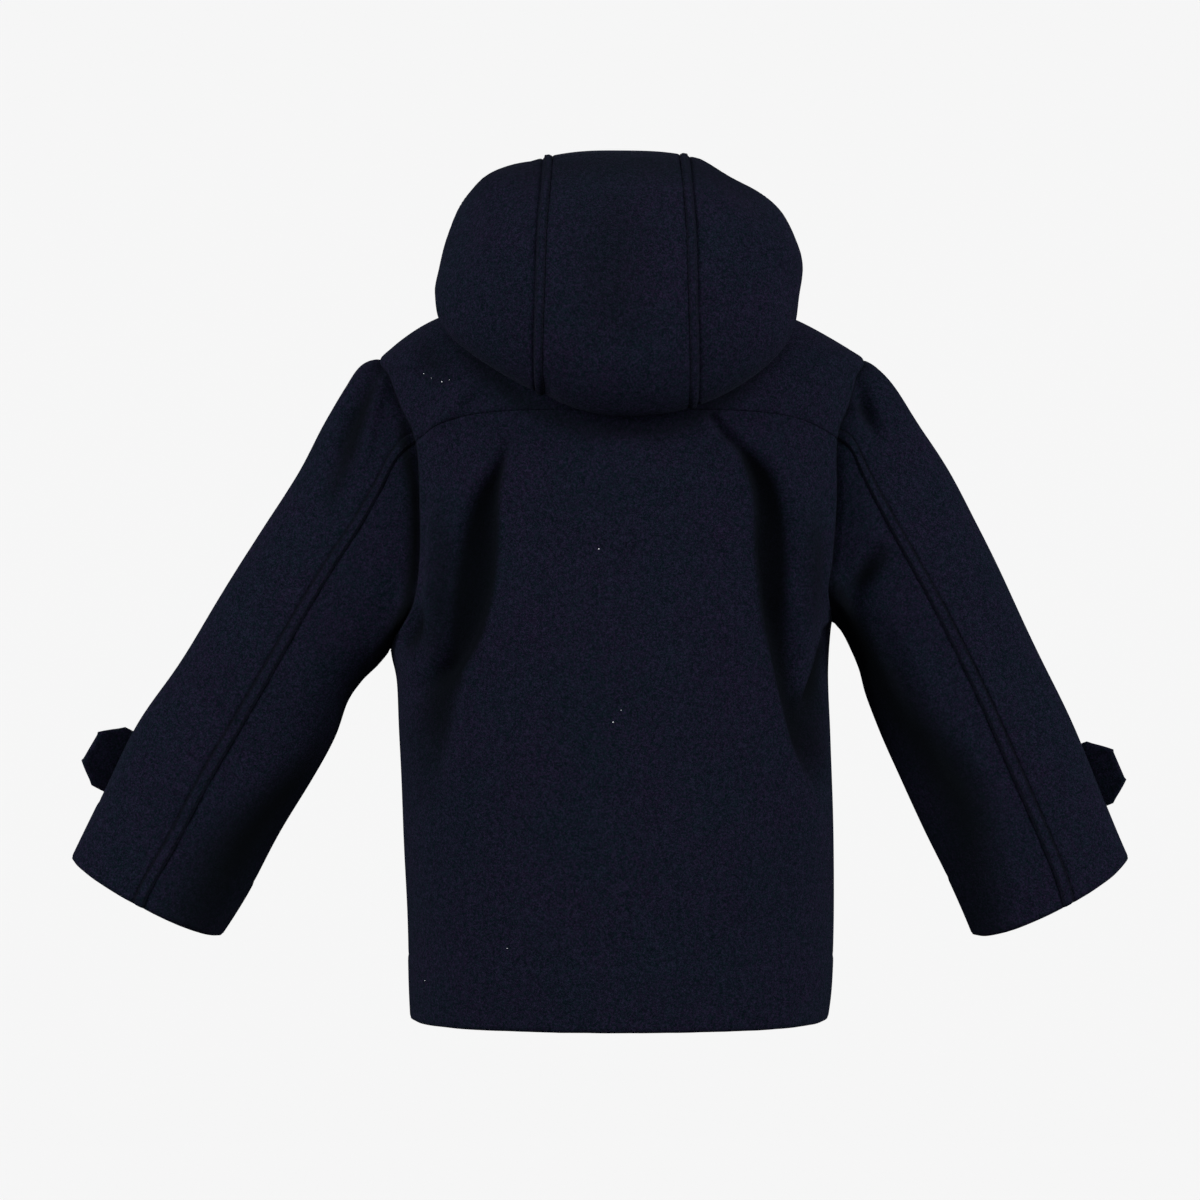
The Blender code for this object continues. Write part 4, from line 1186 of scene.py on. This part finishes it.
@functools.cache
def wool_surface():
    """Navy felt: a mottled ground, pale and dark fibre flecks, a fuzzy nap, and painted shade."""
    colours = bpy.context.scene.coat_colours
    made, nodes, links, shader = new_surface("navy_felt")
    place = nodes.new("ShaderNodeTexCoord").outputs["Object"]
    ground = np.array(colours.wool)
    violet = np.array(colours.violet)
    teal = np.array(colours.teal)
    clumps = noise(nodes, links, place, 300.0, 3.0, 0.65)
    mottled = ramp(nodes, links, clumps, ((0.32, ground * 0.3), (0.50, ground), (0.68, ground * 2.2)))
    fine = noise(nodes, links, place, 820.0, 2.0, 0.75)
    flecked = ramp(nodes, links, fine, ((0.38, ground * 0.1), (0.50, ground * 0.9), (0.62, violet * 2.0)))
    tint = noise(nodes, links, place, 560.0, 2.0, 0.6)
    tinted = ramp(nodes, links, tint, ((0.40, teal), (0.50, ground), (0.60, violet)))
    cloth = mixed(nodes, links, 0.5, mottled, flecked)
    cloth = mixed(nodes, links, 0.4, cloth, tinted)
    slow = noise(nodes, links, place, 22.0, 2.0, 0.5)
    patches = ramp(nodes, links, slow, ((0.35, (0.92, 1.10, 1.0)), (0.65, (1.10, 1.04, 1.06))))
    cloth = mixed(nodes, links, 1.0, cloth, patches, "MULTIPLY")
    # Painted shade: mixes the felt towards a dark shade colour by each point's painted shade
    pressed = nodes.new("ShaderNodeAttribute")
    pressed.attribute_name = "pressed"
    painted_shade_colour = nodes.new("ShaderNodeRGB")
    painted_shade_colour.outputs[0].default_value = opaque(colours.painted_shade_colour)
    cloth = mixed(nodes, links, pressed.outputs["Fac"], cloth, painted_shade_colour.outputs[0])
    links.new(cloth, shader.inputs["Base Color"])
    shader.inputs["Roughness"].default_value = 0.95
    shader.inputs["Specular IOR Level"].default_value = 0.0
    # The sheen fades out where the painted shade is full
    sheen_out_of_shade = nodes.new("ShaderNodeMapRange")
    sheen_out_of_shade.inputs["To Min"].default_value = 0.02
    sheen_out_of_shade.inputs["To Max"].default_value = 0.0
    links.new(pressed.outputs["Fac"], sheen_out_of_shade.inputs["Value"])
    links.new(sheen_out_of_shade.outputs["Result"], shader.inputs["Sheen Weight"])
    shader.inputs["Sheen Roughness"].default_value = 0.45
    shader.inputs["Sheen Tint"].default_value = (0.62, 0.72, 1.0, 1.0)
    bump = nodes.new("ShaderNodeBump")
    bump.inputs["Strength"].default_value = 0.8
    bump.inputs["Distance"].default_value = 0.6 * MM
    links.new(noise(nodes, links, place, 700.0, 4.0, 0.7), bump.inputs["Height"])
    links.new(bump.outputs["Normal"], shader.inputs["Normal"])
    made.diffuse_color = opaque(ground)
    return made


def plain_surface(name, colour, roughness, specular):
    made, _, _, shader = new_surface(name)
    shader.inputs["Base Color"].default_value = opaque(colour)
    shader.inputs["Roughness"].default_value = roughness
    shader.inputs["Specular IOR Level"].default_value = specular
    made.diffuse_color = opaque(colour)
    return made


# Tabs


def tab_grid(side):
    """The tab's inner face: a row for each step along its path, a column for each step across it."""
    row = named_row(SLEEVE_COLUMNS, SLEEVE_ROWS[side], TAB_LEVELS[side])
    middle, half = chord(row, side)
    drop = math.radians(TAB_DROP_ANGLES[side])
    turn = -drop if side == "left" else drop
    out = half / np.linalg.norm(half)
    out = out * math.cos(turn) + square_to(half) * math.sin(turn)
    down = square_to(out)
    grid = []
    for level in finer(tuple(range(len(TAB_ROWS))), TAB_STEPS):
        index = min(int(level), len(TAB_ROWS) - 2)
        step = named_row(TAB_COLUMNS, TAB_ROWS, level)
        widths = [values[2] for values in TAB_ROWS[index : index + 2]]
        step["half_width"] = widths[0] + (widths[1] - widths[0]) * (level - index)
        forward = np.array((0.0, step["forward"], 0.0))
        centre = middle + (out * (step["out"] + TAB_SHIFTS[side]) + forward) * MM
        shares = np.linspace(-1, 1, TAB_COLUMNS_ACROSS + 1)
        grid.append([centre + down * step["half_width"] * MM * share for share in shares])
    return np.array(grid)


@functools.cache
def tab_panel(side):
    """A cuff tab on the sleeve, pressed along its stitching, with painted shade that is darkest there."""
    sizes = bpy.context.scene.coat_sizes
    sleeve = [cloth_panels()[name + side] for name in ("sleeve_upper_", "sleeve_under_")]
    rings = [panel.base[:: len(panel.base) // TAB_RINGS][:TAB_RINGS] for panel in sleeve]
    inside = nearest_on(np.concatenate(rings, axis=1).mean(axis=1))
    tree = skin_tree([panel.outer for panel in sleeve])
    panel = Panel("cuff_tab_" + side, lift_clear(tab_grid(side), tree, inside, TAB_REST), inside)
    nearest = np.minimum.reduce(panel.edges)
    height = sizes.tab_thickness - 0.9 * MM * bump_at(nearest, 0.0, 1.6 * MM)
    height -= 0.35 * MM * bump_at(nearest, sizes.tab_stitch, 1.2 * MM)
    height += 0.25 * MM * slack(panel.base.reshape(-1, 3) * 3).reshape(height.shape)
    panel.outer = panel.base + panel.lead * height[:, :, None]
    # Painted shade over the whole tab, darker along its stitching
    panel.pressed = 0.15 + 0.4 * bump_at(nearest, sizes.tab_stitch, 0.8 * MM)
    panel.inner = panel.base
    panel.final = panel.lead
    return panel


# How far a tab's rim bulges out
TAB_BULGE = 0.8


def add_tab(side, surface):
    panel = tab_panel(side)
    bulge = edge_ways(panel.outer, panel.final) * TAB_BULGE * MM
    add_sheet(cloth_object(panel, surface, bulge), panel.name)


# Stitches


def line_on(panel, edge, distance):
    """Points and normals along a panel, at a distance from one of its edges."""
    outer = panel.outer
    normals = panel.final
    run = panel.edges[edge]
    if edge >= 2:
        outer = outer.transpose(1, 0, 2)
        normals = normals.transpose(1, 0, 2)
        run = run.T
    points = []
    turned = []
    for line, ways, places in zip(outer, normals, run):
        order = np.argsort(places)
        points.append(on_line(distance, places[order], line[order]))
        turned.append(on_line(distance, places[order], ways[order]))
    return np.array(points), np.array(turned)


def stitch_row(points, normals, pitch, share, skip=0.0):
    """The two ends of each stitch along a line, with the cloth's normal there."""
    run = lengths(points[None], 1)[0]
    starts = np.arange(skip + pitch / 2, run[-1] - skip - pitch, pitch)
    firsts = on_line(starts, run, points)
    lasts = on_line(starts + pitch * share, run, points)
    ways = on_line(starts + pitch * share / 2, run, normals)
    return firsts, lasts, ways


# How much of the pitch a stitch takes, how far from a strip's two sides its rows lie, and how far from
# the front edge and from the ends of that edge
STITCH_SHARE = 0.72
STRIP_STITCH_IN = 1.6 * MM
STRIP_STITCH_OUT = 0.6 * MM
FRONT_STITCH_IN = 6.0 * MM
FRONT_STITCH_SKIP = 4.0 * MM
STITCH_SIDES = 5
# Along a stitch: the place, how thick it is and how high it stands, as shares of the thread's radius
STITCH_PROFILE = ((0.0, 0.35, -0.9), (0.25, 0.95, 0.25), (0.75, 0.95, 0.25), (1.0, 0.35, -0.9))


def stitches_object(name, rows, surface):
    """One mesh of short thread stitches, each a thin rod that dips into the cloth at its ends."""
    sizes = bpy.context.scene.coat_sizes
    radius = sizes.thread_width / 2
    points = []
    faces = []
    for firsts, lasts, ways in rows:
        for first, last, way in zip(firsts, lasts, ways):
            way = way / np.linalg.norm(way)
            ahead = last - first
            beside = np.cross(ahead, way)
            beside /= np.linalg.norm(beside)
            start = len(points)
            for share, thick, high in STITCH_PROFILE:
                centre = first + ahead * share + way * radius * high
                for step in range(STITCH_SIDES):
                    angle = math.tau * step / STITCH_SIDES
                    spoke = beside * math.cos(angle) + way * math.sin(angle)
                    points.append(centre + spoke * radius * thick)
            for ring in range(len(STITCH_PROFILE) - 1):
                low = start + ring * STITCH_SIDES
                for step in range(STITCH_SIDES):
                    other = (step + 1) % STITCH_SIDES
                    corners = (low + step, low + other, low + STITCH_SIDES + other, low + STITCH_SIDES + step)
                    faces.append(corners)
            end = start + (len(STITCH_PROFILE) - 1) * STITCH_SIDES
            faces.append(tuple(start + step for step in range(STITCH_SIDES))[::-1])
            faces.append(tuple(end + step for step in range(STITCH_SIDES)))
    data = bpy.data.meshes.new(name)
    data.from_pydata([tuple(point) for point in points], [], faces)
    data.materials.append(surface)
    mesh = bmesh.new()
    mesh.from_mesh(data)
    bmesh.ops.recalc_face_normals(mesh, faces=mesh.faces)
    mesh.to_mesh(data)
    mesh.free()
    data.shade_smooth()
    obj = linked(name, data)
    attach(obj, "root")


# Lint


def lint_object(surface):
    panels = cloth_panels()
    tree = skin_tree([panels["back_body"].outer, panels["back_yoke"].outer])
    mesh = bmesh.new()
    for number, values in enumerate(LINT):
        speck = dict(zip(LINT_COLUMNS, values))
        start = Vector((speck["x"] * MM, -0.5, speck["z"] * MM))
        place = tree.ray_cast(start, Vector((0, 1, 0)))[0]
        made = bmesh.ops.create_icosphere(mesh, subdivisions=1, radius=speck["size"] * MM / 2)
        for index, vert in enumerate(made["verts"]):
            uneven = 1 + 0.35 * math.sin(2.4 * index + 1.9 * number)
            vert.co = Vector((vert.co.x * uneven * 1.2, vert.co.y * 0.5, vert.co.z * uneven))
            vert.co += place - Vector((0, 0.15 * MM, 0))
    data = bpy.data.meshes.new("lint")
    mesh.to_mesh(data)
    mesh.free()
    data.materials.append(surface)
    data.shade_smooth()
    obj = linked("lint", data)
    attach(obj, "root")


# Buttons


def deselect():
    if bpy.context.mode != "OBJECT":
        bpy.ops.object.mode_set(mode="OBJECT")
    bpy.ops.object.select_all(action="DESELECT")


def make_active(obj):
    deselect()
    obj.select_set(True)
    bpy.context.view_layer.objects.active = obj


def flat_faces(obj, height, low, high):
    """Selects, in edit mode, the faces that lie at a height and within a ring round the middle."""
    mesh = bmesh.from_edit_mesh(obj.data)
    bpy.ops.mesh.select_all(action="DESELECT")
    for face in mesh.faces:
        middle = face.calc_center_median()
        reach = math.hypot(middle.x, middle.y)
        face.select = abs(middle.z - height) < 1e-6 and low <= reach <= high
    bmesh.update_edit_mesh(obj.data)


# A button's holes: how many, and how far out and how large each is, as shares of the radius
BUTTON_HOLES = 4
HOLE_REACH = 0.22
HOLE_RADIUS = 0.085
# Where the thread lies over a button's dish, as a share of its thickness, and from thread to thread
DISH_LEVEL = 0.74
THREAD_STEP = 0.35 * MM


def button_pattern(radius, thick):
    """A sewn-on button lying on Z = 0: a turned rim round a shallow dish, with four holes."""
    deselect()
    bpy.ops.mesh.primitive_cylinder_add(vertices=48, radius=radius, depth=thick, location=(0, 0, thick / 2))
    obj = bpy.context.object
    bpy.ops.object.mode_set(mode="EDIT")
    bpy.ops.mesh.select_mode(type="FACE")
    flat_faces(obj, thick, 0, radius * 0.1)
    bpy.ops.mesh.inset(thickness=radius * 0.2)
    bpy.ops.mesh.inset(thickness=radius * 0.1)
    bpy.ops.transform.translate(value=(0, 0, -thick * 0.3))
    bpy.ops.object.mode_set(mode="OBJECT")
    bevel = obj.modifiers.new("edges", "BEVEL")
    bevel.width = thick * 0.16
    bevel.segments = 3
    bevel.limit_method = "ANGLE"
    bpy.ops.object.modifier_apply(modifier=bevel.name)
    for number in range(BUTTON_HOLES):
        angle = math.tau * (number + 0.5) / BUTTON_HOLES
        deselect()
        reach = radius * HOLE_REACH
        place = (reach * math.cos(angle), reach * math.sin(angle), thick / 2)
        bore = radius * HOLE_RADIUS
        bpy.ops.mesh.primitive_cylinder_add(vertices=14, radius=bore, depth=thick * 3, location=place)
        drill = bpy.context.object
        make_active(obj)
        cut = obj.modifiers.new("hole", "BOOLEAN")
        cut.operation = "DIFFERENCE"
        cut.object = drill
        bpy.ops.object.modifier_apply(modifier=cut.name)
        bpy.data.objects.remove(drill)
    make_active(obj)
    bpy.ops.object.shade_smooth_by_angle(angle=math.radians(35))
    return obj


def node_axis(node):
    """The middle of a button's solid at its back face, and the way its face looks."""
    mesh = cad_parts[node].data
    points = np.array([tuple(vert.co) for vert in mesh.vertices])
    middle = (points.min(axis=0) + points.max(axis=0)) / 2
    _, _, ways = np.linalg.svd(points - points.mean(axis=0), full_matrices=False)
    axis = ways[2]
    if node.startswith("front"):
        outward = np.array((0.0, 1.0, 0.0))
    else:
        outward = np.array((-1.0 if node.endswith("left") else 1.0, 1.0, 0.0))
    if axis @ outward < 0:
        axis = -axis
    reach = (points - middle) @ axis
    return middle + axis * reach.min(), axis


def add_button(node, pattern, surface):
    make_active(pattern)
    bpy.ops.object.duplicate()
    obj = bpy.context.object
    obj.name = node + "_finish"
    place, axis = node_axis(node)
    obj.location = Vector(place)
    obj.rotation_mode = "QUATERNION"
    obj.rotation_quaternion = Vector(axis).to_track_quat("Z", "Y")
    bpy.ops.object.transform_apply(location=True, rotation=True, scale=True)
    obj.data.materials.clear()
    obj.data.materials.append(surface)
    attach(obj, "root")
    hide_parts(node)


def button_threads(name, nodes, radius, thick, surface):
    """Two bars of thread across each button's holes."""
    rows = []
    for node in nodes:
        place, axis = node_axis(node)
        turn = Vector(axis).to_track_quat("Z", "Y").to_matrix()
        firsts = []
        lasts = []
        for sign in (-1, 1):
            reach = radius * HOLE_REACH * math.sqrt(0.5)
            for depth in (0.0, THREAD_STEP):
                first = turn @ Vector((-reach, sign * reach + depth, thick * DISH_LEVEL))
                last = turn @ Vector((reach, sign * reach + depth, thick * DISH_LEVEL))
                firsts.append(place + np.array(first))
                lasts.append(place + np.array(last))
        ways = np.repeat(axis[None], len(firsts), axis=0)
        rows.append((np.array(firsts), np.array(lasts), ways))
    stitches_object(name, rows, surface)


# Studio


PAPER_GLOW = 0.97
PAPER_FRONT = 0.15
FLOOR_LEVEL = -1.55
FLOOR_RADIUS = 4.5
# The backdrop's rim, as steps out and up from the floor
RIM_STEPS = ((0.5, 0.04), (0.45, 0.16), (0.35, 0.32), (0.2, 0.5), (0.1, 0.8), (0.0, 2.2))


def lit_paper(colour):
    """Pale paper that is lit evenly from behind, like a light table."""
    made, _, _, shader = new_surface("studio_paper")
    shader.inputs["Base Color"].default_value = opaque(value * PAPER_FRONT for value in colour)
    shader.inputs["Roughness"].default_value = 0.9
    shader.inputs["Emission Color"].default_value = opaque(colour)
    shader.inputs["Emission Strength"].default_value = PAPER_GLOW
    return made


def studio_floor(surface):
    deselect()
    middle = (0, 0, FLOOR_LEVEL)
    bpy.ops.mesh.primitive_circle_add(vertices=96, radius=FLOOR_RADIUS, fill_type="NGON", location=middle)
    floor = bpy.context.object
    floor.name = "studio_floor"
    bpy.ops.object.mode_set(mode="EDIT")
    bpy.ops.mesh.select_mode(type="EDGE")
    bpy.ops.mesh.select_all(action="DESELECT")
    mesh = bmesh.from_edit_mesh(floor.data)
    for edge in mesh.edges:
        edge.select = edge.is_boundary
    bmesh.update_edit_mesh(floor.data)
    reach = FLOOR_RADIUS
    for out, up in RIM_STEPS:
        bpy.ops.mesh.extrude_edges_move()
        grow = (reach + out) / reach
        bpy.ops.transform.resize(value=(grow, grow, 1.0), center_override=middle)
        bpy.ops.transform.translate(value=(0, 0, up))
        reach += out
    bpy.ops.object.mode_set(mode="OBJECT")
    make_active(floor)
    bpy.ops.object.transform_apply(location=True, rotation=True, scale=True)
    bpy.ops.object.shade_smooth_by_angle(angle=math.radians(60))
    floor.data.materials.append(surface)
    floor.visible_diffuse = False


# Softboxes: where each stands, its width and height in metres, and its power in watts
SOFTBOXES = {
    "left": ((-3.0, -1.6, 0.8), (1.6, 2.0), 116.0),
    "right": ((3.0, -1.6, 0.8), (1.6, 2.0), 116.0),
    "key": ((0.0, -3.5, 0.9), (2.0, 1.6), 34.0),
    "front": ((0.0, 3.4, 1.2), (2.4, 2.0), 60.0),
}
LIGHTS_AIM = Vector((0.0, 0.0, -0.2))


def studio_lights():
    for name, (place, size, power) in SOFTBOXES.items():
        lamp = bpy.data.lights.new("softbox_" + name, "AREA")
        lamp.shape = "RECTANGLE"
        lamp.size, lamp.size_y = size
        lamp.energy = power
        obj = linked("softbox_" + name, lamp)
        obj.location = place
        obj.rotation_mode = "QUATERNION"
        obj.rotation_quaternion = (LIGHTS_AIM - Vector(place)).to_track_quat("-Z", "Y")
    world = bpy.data.worlds.new("studio_air")
    world.use_nodes = True
    air = world.node_tree.nodes["Background"]
    air.inputs["Color"].default_value = (0.95, 0.97, 1.0, 1.0)
    air.inputs["Strength"].default_value = 0.13
    bpy.context.scene.world = world


CAMERA_PLACE = (-0.014, -2.6, -0.1855)
CAMERA_LENS = 111.43


def studio_camera():
    data = bpy.data.cameras.new("camera")
    data.lens = CAMERA_LENS
    data.sensor_width = 36.0
    data.clip_start = 0.05
    data.clip_end = 50.0
    camera = linked("camera", data)
    camera.location = CAMERA_PLACE
    camera.rotation_euler = (math.radians(90), 0.0, 0.0)
    bpy.context.scene.camera = camera


# Properties, operators and panel


def length_property(name, description, default):
    return bpy.props.FloatProperty(name=name, description=description, default=default, unit="LENGTH")


def colour_property(name, description, default):
    return bpy.props.FloatVectorProperty(
        name=name, description=description, default=default, subtype="COLOR", size=3, min=0.0, max=1.0
    )


class CoatSizes(bpy.types.PropertyGroup):
    """Sizes of the coat's cloth and sewing"""

    wall: length_property("Cloth", "Thickness of the felted wool", 2.5 * MM)
    turn_up: length_property("Turn-up", "Extra thickness where an edge is turned in", 1.6 * MM)
    seam_overlap: length_property("Seam overlap", "How far panels reach into each other at a seam", 1.0 * MM)
    neck_overlap: length_property("Neck overlap", "How far the body reaches into the neck seam", 2.4 * MM)
    neck_drop: length_property("Neck drop", "How far the hood's foot goes down into the neck seam", 4.4 * MM)
    seam_groove: length_property("Seam groove", "How deep a plain seam lies", 1.1 * MM)
    armhole_dip: length_property("Armhole dip", "How deep a sleeve starts under the armhole's edge", 2.4 * MM)
    strip_width: length_property("Sleeve strip", "Width of the strip along a sleeve's back seam", 7.0 * MM)
    hood_strip_width: length_property("Hood strip", "Width of the strips along the hood's seams", 5.3 * MM)
    strip_rise: length_property("Strip rise", "Height of the raised strips", 1.3 * MM)
    # Painted shade: the fold depth in mm at which a fold's painted shade is full
    fold_shade: bpy.props.FloatProperty(
        name="Pressed depth", description="Depth in mm at which a fold's nap is fully pressed", default=6.0
    )
    hem_depth: length_property("Hem", "Depth of the turned-up hem and cuffs", 42.0 * MM)
    face_band: length_property("Face band", "Depth of the band at the hood's face edge", 22.0 * MM)
    band_rise: length_property("Band rise", "How much a turned-up band stands out", 0.35 * MM)
    lap_half: length_property("Lap", "How far each front reaches past the centre", 24.0 * MM)
    lap_margin: length_property("Lap margin", "How far outside the lap the upper front is raised", 20.0 * MM)
    lap_blend: length_property("Lap blend", "The length over which the upper front rises", 40.0 * MM)
    lap_rest: length_property("Lap rest", "Room between the two fronts", 0.2 * MM)
    slack_height: length_property("Slack", "Height of the cloth's slow waves", 1.1 * MM)
    fold_strength: bpy.props.FloatProperty(name="Folds", description="Depth of the folds", default=1.0)
    tab_thickness: length_property("Tab", "Thickness of a cuff tab", 3.0 * MM)
    tab_stitch: length_property("Tab stitching", "How far the stitching lies from a tab's edge", 5.0 * MM)
    stitch_pitch: length_property("Stitch pitch", "From one stitch to the next", 3.3 * MM)
    thread_width: length_property("Thread", "Width of the sewing thread", 0.45 * MM)
    front_button: length_property("Front button", "Radius of a front button", 11.0 * MM)
    cuff_button: length_property("Cuff button", "Radius of a cuff button", 9.0 * MM)
    button_thickness: length_property("Button", "Thickness of a button", 4.0 * MM)


class CoatColours(bpy.types.PropertyGroup):
    """Colours of the coat and its studio"""

    wool: colour_property("Wool", "Ground colour of the felt", (0.0048, 0.0058, 0.0117))
    violet: colour_property("Violet fibres", "Colour of the felt's violet fibres", (0.0115, 0.0084, 0.0220))
    teal: colour_property("Teal fibres", "Colour of the felt's teal fibres", (0.0025, 0.0087, 0.0104))
    # Painted shade: the dark colour that the felt is mixed towards where shade falls
    painted_shade_colour: colour_property("Crease", "Colour of the felt where it is pressed", (0.0027, 0.0034, 0.0044))
    thread: colour_property("Thread", "Colour of the sewing thread", (0.0024, 0.0030, 0.0070))
    button: colour_property("Button", "Colour of the buttons", (0.010, 0.011, 0.016))
    lint: colour_property("Lint", "Colour of the bits of lint", (0.75, 0.76, 0.80))
    paper: colour_property("Backdrop", "Colour of the studio's floor and backdrop", (0.88, 0.88, 0.88))


class COAT_OT_back(bpy.types.Operator):
    """Makes the back panel and the yoke"""

    bl_idname = "coat.back"
    bl_label = "Back and yoke"

    def execute(self, context):
        add_panels(("back_body", "back_yoke"))
        return {"FINISHED"}


class COAT_OT_fronts(bpy.types.Operator):
    """Makes the two lapped fronts"""

    bl_idname = "coat.fronts"
    bl_label = "Fronts"

    def execute(self, context):
        add_panels(("front_left", "front_right"))
        return {"FINISHED"}


class COAT_OT_sleeves(bpy.types.Operator):
    """Makes the upper and under sleeves"""

    bl_idname = "coat.sleeves"
    bl_label = "Sleeves"

    def execute(self, context):
        add_panels(("sleeve_upper_left", "sleeve_under_left", "sleeve_upper_right", "sleeve_under_right"))
        return {"FINISHED"}


class COAT_OT_hood(bpy.types.Operator):
    """Makes the hood's centre and side panels"""

    bl_idname = "coat.hood"
    bl_label = "Hood"

    def execute(self, context):
        add_panels(("hood_centre", "hood_side_left", "hood_side_right"))
        return {"FINISHED"}


class COAT_OT_tabs(bpy.types.Operator):
    """Makes the cuff tabs"""

    bl_idname = "coat.tabs"
    bl_label = "Cuff tabs"

    def execute(self, context):
        for side in ("left", "right"):
            add_tab(side, wool_surface())
        return {"FINISHED"}


class COAT_OT_buttons(bpy.types.Operator):
    """Makes the front and cuff buttons"""

    bl_idname = "coat.buttons"
    bl_label = "Buttons"

    def execute(self, context):
        sizes = context.scene.coat_sizes
        colours = context.scene.coat_colours
        surface = plain_surface("dark_button", colours.button, 0.4, 0.03)
        thread = plain_surface("button_thread", colours.thread, 0.8, 0.1)
        groups = (
            ("front", sizes.front_button, [f"front_button_{number}" for number in (1, 2, 3, 4)]),
            ("cuff", sizes.cuff_button, ["cuff_button_left", "cuff_button_right"]),
        )
        for name, radius, nodes in groups:
            pattern = button_pattern(radius, sizes.button_thickness)
            for node in nodes:
                add_button(node, pattern, surface)
            bpy.data.objects.remove(pattern)
            button_threads(name + "_button_threads", nodes, radius, sizes.button_thickness, thread)
        return {"FINISHED"}


class COAT_OT_stitching(bpy.types.Operator):
    """Sews the rows of stitches along strips, bands, front edge and tabs"""

    bl_idname = "coat.stitching"
    bl_label = "Stitching"

    def execute(self, context):
        sizes = context.scene.coat_sizes
        thread = plain_surface("navy_thread", context.scene.coat_colours.thread, 0.85, 0.1)
        panels = cloth_panels()

        def row(panel, edge, distance, skip=0.0):
            points, normals = line_on(panel, edge, distance)
            return stitch_row(points, normals, sizes.stitch_pitch, STITCH_SHARE, skip)

        def strip_rows(panel, edge, width):
            return [row(panel, edge, distance) for distance in (STRIP_STITCH_IN, width + STRIP_STITCH_OUT)]

        centre = panels["hood_centre"]
        hood = [stitches for edge in (0, 1) for stitches in strip_rows(centre, edge, sizes.hood_strip_width)]
        hood += [row(panels[name], 2, sizes.face_band) for name in panels if name.startswith("hood")]
        stitches_object("hood_stitching", hood, thread)
        sleeves = []
        for side in ("left", "right"):
            sleeves += strip_rows(panels["sleeve_upper_" + side], 0, sizes.strip_width)
        stitches_object("sleeve_stitching", sleeves, thread)
        front = [row(panels["front_left"], 0, FRONT_STITCH_IN, FRONT_STITCH_SKIP)]
        stitches_object("front_stitching", front, thread)
        tabs = []
        for side in ("left", "right"):
            panel = tab_panel(side)
            tabs += [row(panel, edge, sizes.tab_stitch, sizes.tab_stitch) for edge in (0, 1, 2, 3)]
        stitches_object("tab_stitching", tabs, thread)
        return {"FINISHED"}


class COAT_OT_lint(bpy.types.Operator):
    """Adds the few bits of lint on the back"""

    bl_idname = "coat.lint"
    bl_label = "Lint"

    def execute(self, context):
        lint_object(plain_surface("lint_fluff", context.scene.coat_colours.lint, 0.9, 0.1))
        return {"FINISHED"}


class COAT_OT_studio(bpy.types.Operator):
    """Sets up the pale floor, the soft lights and the camera"""

    bl_idname = "coat.studio"
    bl_label = "Studio"

    def execute(self, context):
        studio_floor(lit_paper(context.scene.coat_colours.paper))
        studio_lights()
        studio_camera()
        context.scene.view_settings.view_transform = "Standard"
        return {"FINISHED"}


OPERATORS = (
    COAT_OT_back,
    COAT_OT_fronts,
    COAT_OT_sleeves,
    COAT_OT_hood,
    COAT_OT_tabs,
    COAT_OT_buttons,
    COAT_OT_stitching,
    COAT_OT_lint,
    COAT_OT_studio,
)


class COAT_PT_panel(bpy.types.Panel):
    """Lists the coat's sizes, colours and steps"""

    bl_label = "Hooded wool coat"
    bl_idname = "COAT_PT_panel"
    bl_space_type = "VIEW_3D"
    bl_region_type = "UI"
    bl_category = "Coat"

    def draw(self, context):
        for operator in OPERATORS:
            self.layout.operator(operator.bl_idname)
        for group in (context.scene.coat_sizes, context.scene.coat_colours):
            for name in group.bl_rna.properties.keys():
                if name not in ("rna_type", "name"):
                    self.layout.prop(group, name)


CLASSES = (CoatSizes, CoatColours) + OPERATORS + (COAT_PT_panel,)


def register():
    for item in CLASSES:
        bpy.utils.register_class(item)
    bpy.types.Scene.coat_sizes = bpy.props.PointerProperty(type=CoatSizes)
    bpy.types.Scene.coat_colours = bpy.props.PointerProperty(type=CoatColours)


def unregister():
    del bpy.types.Scene.coat_colours
    del bpy.types.Scene.coat_sizes
    for item in reversed(CLASSES):
        bpy.utils.unregister_class(item)


def main():
    register()
    for operator in OPERATORS:
        group, name = operator.bl_idname.split(".")
        getattr(getattr(bpy.ops, group), name)()


if __name__ == "__main__":
    main()
